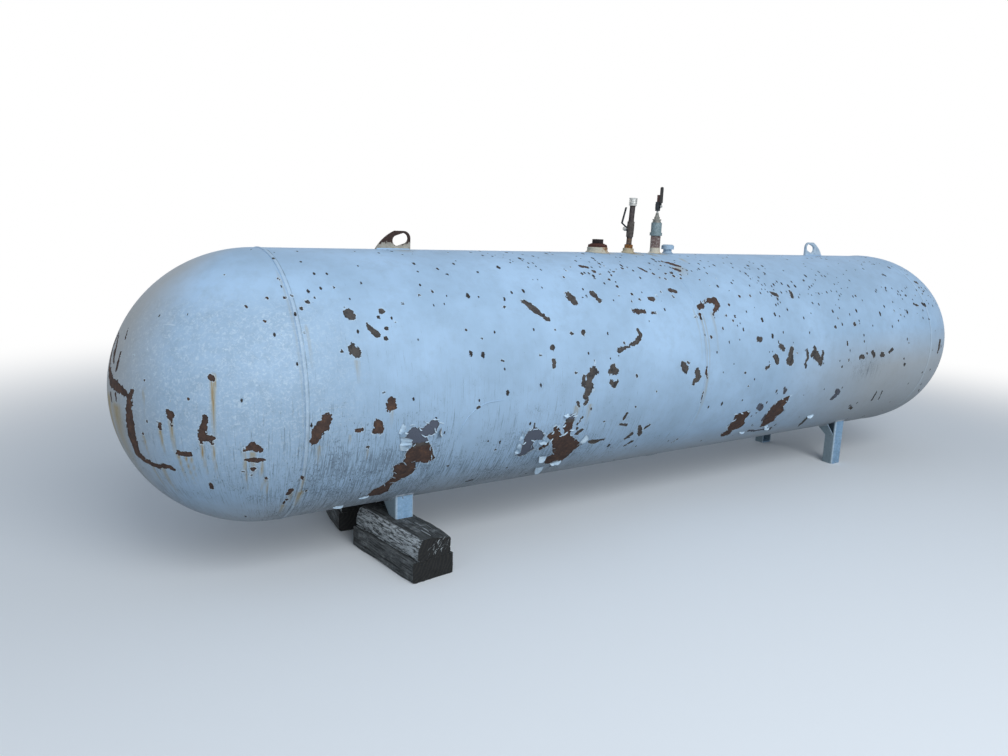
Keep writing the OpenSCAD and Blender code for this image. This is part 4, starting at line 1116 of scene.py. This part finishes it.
timbers = {
    "length": 0.458,
    "upper": {"width": 0.152, "turn": 8, "splitWidth": 0.021, "splitHeight": 0.040},
    "lower": {"width": 0.185, "turn": 7, "splitWidth": 0.0, "splitHeight": 0.0},
    "grainMm": 7,
    "grooveDepth": 0.0016,
    "arris": 0.006,
    "capRings": 9,
    "wornCorner": 0.016,
    "columns": 150,
    "rows": 110,
    "splits": 9,
    "endSplinters": 26,
    "topSplinters": 20,
}


# Points spaced evenly round a closed outline, and the distance of each from the nearest corner
def aroundOutline(corners, count):
    corners = np.array(corners)
    links = np.roll(corners, -1, axis=0) - corners
    ends = np.concatenate([[0], np.cumsum(np.linalg.norm(links, axis=1))])
    travel = np.arange(count) / count * ends[-1]
    closed = np.vstack([corners, corners[:1]])
    points = np.stack([np.interp(travel, ends, closed[:, i]) for i in range(2)], axis=1)
    return points, travel, np.abs(travel[:, None] - ends[None, :]).min(axis=1)


# Points of a timber's own frame in the scene: u across it, v along it from its outer end, z up
def onTimber(box, size, u, v, z):
    low, high = box
    side = -1 if low[1] < 0 else 1
    turn = math.radians(size["turn"]) * -side
    x, y = (low + high)[:2] / 2
    along = side * (timbers["length"] / 2 - v)
    return np.stack(np.broadcast_arrays(x + u * math.cos(turn) - along * math.sin(turn),
                                        y + u * math.sin(turn) + along * math.cos(turn), low[2] + z), axis=-1)


# How far the top of an upper timber is worn down at (u, v): a slope to its outer right corner, where u is
# half the timber's width, that runs out along the timber
def wornTop(u, v, half):
    slope = np.clip((u + 0.01) / (half - 0.01), 0, 1) * np.clip(1 - v / 0.13, 0, 1)
    return timbers["wornCorner"] * slope


# A weathered timber: its section is carried along it, and each point is drawn in towards the heart of the
# section by grooves between the growth rings, |sin| of the distance round the section with a slow wander,
# by a few deep splits, and by worn arrises. At both ends it shrinks to a point with broken fibres.
def timberGrid(name, size, seed):
    box = boxCorners(name)
    side = -1 if box[0, 1] < 0 else 1
    depth = box[1, 2] - box[0, 2]
    half = size["width"] / 2
    corners = [(-half, 0), (half, 0), (half, depth)]
    if size["splitWidth"]:
        corners += [(-half + size["splitWidth"], depth), (-half, depth - size["splitHeight"])]
    else:
        corners += [(-half, depth)]
    section, travel, toCorner = aroundOutline(corners, timbers["columns"])
    capRings, rows, length = timbers["capRings"], timbers["rows"], timbers["length"]
    share = np.concatenate([np.linspace(0.04, 0.97, capRings), np.ones(rows),
                            np.linspace(0.97, 0.04, capRings)])[:, None]
    along = np.concatenate([np.zeros(capRings), np.linspace(0, 1, rows), np.ones(capRings)])[:, None] * length
    rng = np.random.default_rng(seed)
    wander = 0.004 * np.sin(along * 9 + rng.uniform(0, 6)) + 0.002 * np.sin(along * 31 + rng.uniform(0, 6))
    rings = np.abs(np.sin(math.pi * (travel[None, :] + wander) / (timbers["grainMm"] / 1000)))
    draw = timbers["grooveDepth"] * (1 - rings) * (0.6 + 0.4 * np.sin(travel * 47 + seed))
    split = np.zeros_like(draw)
    for start, first, reach in zip(rng.uniform(0, travel[-1], timbers["splits"]),
                                   rng.uniform(-0.1, 0.8, timbers["splits"]) * length,
                                   rng.uniform(0.10, 0.30, timbers["splits"])):
        across = (travel[None, :] + wander * 1.5 - start) / 0.0032
        gape = np.clip(1 - ((along - first - reach / 2) / (reach / 2)) ** 2, 0, 1)
        split = np.maximum(split, np.exp(-across ** 2) * np.sqrt(gape))
    draw = draw + 0.005 * split
    draw = draw + timbers["arris"] * np.exp(-(toCorner[None, :] / 0.006) ** 2) * (
        0.5 + 0.5 * np.sin(along * 23 + travel[None, :] * 9 + seed))
    heart = np.array([0.0, depth / 2])
    inward = heart - section
    inward = inward / np.linalg.norm(inward, axis=1, keepdims=True)
    flat = section[None] + inward[None] * draw[..., None]
    flat = heart + (flat - heart) * share[..., None]
    u, z = flat[..., 0], flat[..., 1]
    broken = 0.5 + 0.5 * hills(flat * (1, 0.4), 0.022, seed) + 0.3 * hills(flat, 0.007, seed + 1)
    atStart, atEnd = along < 1e-6, along > length - 1e-6
    bite = 0.010 * np.clip(broken, 0, None)
    v = along + np.where(atStart, bite, 0) - np.where(atEnd, bite, 0)
    if size["splitWidth"]:
        z = z - wornTop(u * -side, v, half) * np.clip((z - depth * 0.5) / (depth * 0.5), 0, 1)
    grain = np.stack(np.broadcast_arrays(u, v, z), axis=-1)
    ends = np.broadcast_to((atStart | atEnd).astype(float), split.shape)
    bleached = toFace(section, corners)[None, :] * (1 - ends) * (1 if size["splitWidth"] else 0.12)
    return onTimber(box, size, u, v, z), grain, split, ends, bleached


# How much each point of the section belongs to the bleached face, the slope at its left
def toFace(section, corners):
    return np.clip((corners[0][0] + 0.024 - section[:, 0]) / 0.004, 0, 1)


# Sawn fir left out for years: silver-grey where the sun and rain reach it, dark and wet-looking where it is
# sheltered, with dark checks along the grain and tan fibres where it has broken lately
woodLook = {
    "dark": "#2b2c2d",
    "middle": "#5c6061",
    "silver": "#b9c0c4",
    "tan": "#9c907c",
    "endDark": "#2a2b2c",
    "endRing": "#45433f",
    "grainMm": 5,
    "ringMm": 15,
}


def makeWood():
    look = woodLook
    material, shader, add = newMaterial("weathered sawn timber")
    grain = add("direction", attribute_name="grain")
    split, atEnd, bleached = (add("value", attribute_name=name) for name in ("split", "end", "bleached"))
    drawn = add("stretch", grain, (1.0, 0.06, 1.0))
    fibres = add("noise", drawn, 1000 / look["grainMm"], 5.0, 0.75)
    patches = add("noise", grain, 1000 / 60, 4.0, 0.65)
    light = add("range", fibres, 0.38, 0.66)
    colour = add("mix", light, look["dark"], look["middle"])
    grey = add("range", patches, 0.50, 0.68, 0.0, 0.55)
    grey = add("times", grey, light)
    flecky = add("stretch", grain, (1.0, 0.22, 1.0))
    flecky = add("noise", flecky, 1000 / 8, 4.0, 0.8)
    flecky = add("range", flecky, 0.42, 0.52)
    face = add("range", fibres, 0.40, 0.52, 0.1, 1.0)
    face = add("times", face, flecky)
    face = add("times", face, bleached)
    grey = add("larger", grey, face)
    colour = add("mix", grey, colour, look["silver"])
    torn = add("range", fibres, 0.60, 0.70, 0.0, 0.7)
    torn = add("times", torn, add("range", patches, 0.52, 0.60))
    colour = add("mix", torn, colour, look["tan"])
    # End grain: curved growth rings about a heart outside the timber
    heart = add("shift", grain, (0.14, 0.0, -0.11))
    heart = add("stretch", heart, (1.0, 0.0, 1.0))
    away = add("length", heart)
    away = add("timesPlus", patches, 0.035, away)
    ring = add("times", away, 2000 * math.pi / look["ringMm"])
    ring = add("range", add("sine", ring), 0.0, 1.0, 0.0, 0.35)
    endColour = add("mix", ring, look["endDark"], look["endRing"])
    colour = add("mix", atEnd, colour, endColour)
    deep = add("range", split, 0.25, 0.8, 0.0, 0.9)
    colour = add("mix", deep, colour, look["endDark"])
    finishShader(add, shader, colour, 0.88, fibres, 0.8, 0.002, 0.2)
    return material


# Splinters torn loose at the front end and along the top of the upper timber: thin slivers whose ends lie
# in the wood. On the end face they lie mostly on its right half and lean to the right.
def makeSplinters(wood):
    rng = np.random.default_rng(31)
    box = boxCorners("timber_upper")
    steps = np.linspace(0, 1, 14)
    grids, grains = [], []
    for number in range(timbers["endSplinters"] + timbers["topSplinters"]):
        atEnd = number < timbers["endSplinters"]
        if atEnd:
            u = rng.uniform(-0.035, 0.060) + steps * rng.uniform(0.004, 0.022)
            z = rng.uniform(0.010, 0.052) + steps * rng.uniform(0.008, 0.026)
            v = 0.0035 + 0.003 * np.sin(steps * math.pi)
            radius = rng.uniform(0.0012, 0.0026)
        else:
            u = rng.uniform(-0.045, 0.055) + steps * rng.uniform(-0.003, 0.003)
            v = rng.uniform(0.012, 0.15) + steps * rng.uniform(0.03, 0.10)
            radius = rng.uniform(0.0012, 0.0022)
            z = box[1, 2] - box[0, 2] - 0.0022 - wornTop(u, v, timbers["upper"]["width"] / 2)
        path = onTimber(box, timbers["upper"], u, v, z)
        out = np.tile((0.0, -1.0, 0.0) if atEnd else (0.0, 0.0, 1.0), (len(steps), 1))
        grids.append(weldBead(path, out, radius, columns=6, taper=8))
        grains.append(np.zeros(grids[-1].shape) + rng.uniform(0, 1, 3))
    ones = [np.ones(grid.shape[:2]) for grid in grids]
    piece = makeSurface("timber_splinters", grids, extras={
        "grain": grains, "split": [one * 0 for one in ones], "end": [one * 0 for one in ones],
        "bleached": [one * rng.uniform(0.4, 1) for one in ones]})
    place(piece, wood, "weathered_timber")


def makeTimbers():
    wood = makeWood()
    makeSplinters(wood)
    for seed, node in enumerate(("timber_upper", "timber_lower", "timber_upper_rear", "timber_lower_rear")):
        size = timbers["upper" if "upper" in node else "lower"]
        grid, grain, split, end, bleached = timberGrid(node, size, 20 + seed)
        piece = makeSurface("weathered_" + node, [grid], extras={
            "grain": [grain], "split": [split], "end": [end], "bleached": [bleached]})
        place(piece, wood, "weathered_timber", node)


makeTimbers()
print("timbers made")


# Threads at the ends of the two nipples

threads = {"pitch": 0.0018, "depth": 0.0009, "pipeRadius": 0.01335, "turns": 4,
           "bareLengths": {"lower_nipple": 0.037, "upper_nipple": 0.077}}


# Rings of a screw thread, a zigzag profile turned about the riser's axis
def makeThreads(material):
    axis = middle("upper_nipple") - middle("lower_nipple")
    axis /= np.linalg.norm(axis)
    steps = np.arange(2 * threads["turns"] + 1)
    lift = threads["depth"] * (steps % 2)
    grids = []
    for node, bare in threads["bareLengths"].items():
        for way in (-1, 1):
            distance = way * (bare / 2 - steps * threads["pitch"] / 2)
            profile = [(distance[0], 0.012)]
            profile += [(d, threads["pipeRadius"] + 0.0002 + l) for d, l in zip(distance, lift)]
            profile += [(distance[-1], 0.012)]
            grids.append(turnedGrid(middle(node), axis, profile, 40))
    place(makeSurface("pipe_threads", grids), material, "brown_pipe")


# Finishes of the carried nodes

# Rusted iron: a dark skin with lighter clouds and bright scale; matt and rough, so it gives no highlight
def makeIron(name, dark, light, scale, scaleShare=0.6, cloudMm=14, rough=0.85, metallic=0.0):
    material, shader, add = newMaterial(name)
    spot = add("place")
    cloud = add("noise", spot, 1000 / cloudMm, 5.0, 0.7)
    crust = add("noise", spot, 2500 / cloudMm, 4.0, 0.75)
    colour = add("mix", add("range", cloud, 0.36, 0.60), dark, light)
    colour = add("mix", add("range", crust, 0.54, 0.66, 0.0, scaleShare), colour, scale)
    finishShader(add, shader, colour, rough, crust, 0.7, metallic=metallic)
    return material


# Old paint on a steel coupling, stained by rust that creeps in from one side; reach says how far
def makeCouplingPaint(node, name, paintCode, stain, rust, reach):
    material, shader, add = newMaterial(name)
    low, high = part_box(node)
    spot = add("place")
    noise = add("noise", spot, 1000 / 16, 5.0, 0.7)
    amount = add("plus", noise, add("range", add("x", spot), low.x, high.x, -0.10, reach))
    colour = add("mix", add("range", amount, 0.58, 0.72), paintCode, stain)
    colour = add("mix", add("range", amount, 0.70, 0.80), colour, rust)
    finishShader(add, shader, colour, 0.7, noise, 0.6)
    return material


# The tank's own paint on its legs: pale and dusty, with a painted highlight along the bends of the front
# plate, painted shade on the side flanges, dirt rising from the foot, and small rust spots
def makeLegPaint(name, leg):
    material, shader, add = newMaterial(name)
    spot = add("place")
    mottle = add("noise", spot, 1000 / 35, 4.0, 0.65)
    fine = add("noise", spot, 1000 / 9, 4.0, 0.7)
    colour = add("mix", add("range", mottle, 0.35, 0.65), "#84a9cb", "#9dc1e0")
    # Painted highlight: from the round bends of the front plate outwards the paint is drawn paler
    aside = add("absolute", add("minus", add("x", spot), middle(leg)[0]))
    worn = add("range", aside, 0.031, 0.035, 0.0, 0.7)
    # Painted shade: faces that look sideways, the side flanges, are drawn darker
    flange = add("range", add("absolute", add("x", add("facing"))), 0.8, 0.95, 0.0, 0.6)
    dirt = add("times", add("range", add("z", spot), 0.03, 0.24, 0.55, 0.25), add("range", fine, 0.3, 0.7))
    dots = add("range", add("plus", fine, mottle), 1.22, 1.26)
    for share, code in ((worn, "#cfe2f0"), (flange, "#5f6f70"), (dirt, "#5d676b"), (dots, "#5a3524")):
        colour = add("mix", share, colour, code)
    finishShader(add, shader, colour, 0.62, fine, 0.5)
    return material


# A lug of steel plate: rust above and old paint below a wandering line, or paint with a few chips
def makeLugFinish(name, paintCodes, rustCodes, line, blur, chips):
    material, shader, add = newMaterial(name)
    spot = add("place")
    cloud = add("noise", spot, 1000 / 18, 5.0, 0.7)
    fine = add("noise", spot, 1000 / 7, 4.0, 0.7)
    painted = add("mix", add("range", cloud, 0.35, 0.65), *paintCodes)
    rusted = add("mix", add("range", fine, 0.35, 0.65), *rustCodes)
    height = topHeight + line
    level = add("plus", add("range", add("z", spot), height - blur, height + blur, -0.25, 0.25), cloud)
    colour = add("mix", add("range", level, chips - 0.03, chips + 0.03), painted, rusted)
    finishShader(add, shader, colour, 0.75, fine, 0.7, 0.001)
    return material


# A smooth finish whose clouds change both its colour and its gloss
def makeSheen(name, sizeMm, detailRough, low, high, ground, cloudCode, glossy, dull, metallic):
    material, shader, add = newMaterial(name)
    cloud = add("noise", add("place"), 1000 / sizeMm, 4.0, detailRough)
    colour = add("mix", add("range", cloud, low, high), ground, cloudCode)
    rough = add("range", cloud, 0.3, 0.7, glossy, dull)
    feed(shader, {"Base Color": colour, "Roughness": rough, "Metallic": metallic})
    return material


# Iron, bronze and brass by node: name, dark, light and scale colours, share of scale, size of the clouds
# in mm, roughness and metallic
ironFinishes = {
    "plug_bushing": ("red-brown malleable iron", "#2e1d1d", "#513029", "#80492f", 0.6),
    "pipe_plug": ("dark malleable iron", "#171317", "#2c2425", "#4b3a33", 0.5),
    "riser_bushing": ("orange rust on the bushing", "#4a3020", "#8a5c2e", "#a97c45", 0.6, 12),
    "lower_nipple": ("orange-brown rusted pipe", "#41352f", "#6b5a4d", "#946c45", 0.6),
    "valve_body": ("grey-brown bronze body", "#3d3836", "#5f5955", "#7c6555", 0.5),
    "upper_nipple": ("brown rusted pipe", "#332e2d", "#575050", "#7a5f50", 0.5),
    "valve_lever": ("dark pressed steel", "#23272b", "#3a4045", "#5b5148", 0.35, 18, 0.6, 0.3),
    "relief_inlet": ("tarnished brass inlet", "#5a4a48", "#7f6b66", "#c2bdb8", 0.85, 20, 0.6, 0.1),
    "relief_housing": ("grey-green tarnished casting", "#6a7c80", "#889a9f", "#a9b4b6", 0.6, 18, 0.6, 0.1),
    "relief_bonnet": ("pale worn casting", "#6d7371", "#9b9890", "#3c3e3d", 0.6, 12, 0.6, 0.2),
    "bleed_pipe": ("white paint on the thin pipe", "#b7b9b6", "#d8d8d2", "#8d8578", 0.5, 8, 0.6),
    "bleed_valve": ("charcoal casting", "#23272b", "#383e43", "#555a5c", 0.5, 12, 0.7),
    "bleed_cap": ("faded red plastic", "#3f2f2f", "#694744", "#b08c84", 0.5, 9, 0.6),
}
# Old paint by node: name, colours of the paint, its stain and the rust, and how far the rust reaches
couplingPaints = {
    "plug_coupling": ("cream paint on the plug's coupling", "#bfb9a8", "#a17c58", "#6b4530", 0.30),
    "riser_coupling": ("cream paint on the riser's coupling", "#b9ad93", "#9a7a50", "#6e4f33", 0.22),
    "relief_coupling": ("cream paint on the relief valve's coupling", "#cfc7b6", "#a98866", "#77492f", 0.18),
    "cap_coupling": ("blue-grey paint on the cap's neck", "#9db3c6", "#7d8d9b", "#5d5048", 0.05),
    "low_cap": ("pale paint on the low cap", "#a2b9cd", "#8497a6", "#5a5550", 0.05),
}
# Lugs by node: name, two codes each for paint and rust, the line's height over the shell and its blur in
# metres, and the share at which paint gives way
lugFinishes = {
    "lug_left": ("rusted lifting lug", ("#8f8a80", "#b9b3a6"), ("#211819", "#49362f"), 0.024, 0.020, 0.5),
    "lug_right": ("painted lifting lug", ("#a3b6c6", "#c3d3df"), ("#4a443f", "#6f6356"), 0.060, 0.10, 0.66),
}


def dressNodes():
    finishes = {node: makeIron(*values) for node, values in ironFinishes.items()}
    finishes["bleed_lever"] = finishes["valve_lever"]
    finishes.update({node: makeCouplingPaint(node, *values) for node, values in couplingPaints.items()})
    finishes.update({node: makeLugFinish(*values) for node, values in lugFinishes.items()})
    # Zinc-plated steel gone dull is pale grey with a soft metallic sheen and darker tarnish
    zinc = makeSheen("dull zinc plate", 11, 0.65, 0.40, 0.66, "#cfd0cd", "#82878a", 0.38, 0.62, 0.75)
    finishes.update(dict.fromkeys(("valve_stem", "lever_nut", "hose_coupling", "bleed_stem"), zinc))
    # Dipped vinyl is black and slightly glossy, and worn through to a pinkish ground
    vinyl = makeSheen("worn black vinyl", 9, 0.7, 0.63, 0.68, "#141518", "#6b4a45", 0.42, 0.62, 0)
    finishes["bleed_grip"] = vinyl
    for end in ("left", "right"):
        legPaint = makeLegPaint("white paint on the %s legs" % end, "leg_%s_front" % end)
        finishes.update(dict.fromkeys(("leg_%s_front" % end, "leg_%s_rear" % end), legPaint))
    for name, node in nodes.items():
        dress(node, finishes.get(name, paint))
    makeThreads(finishes["upper_nipple"])


dressNodes()
print("fittings dressed")
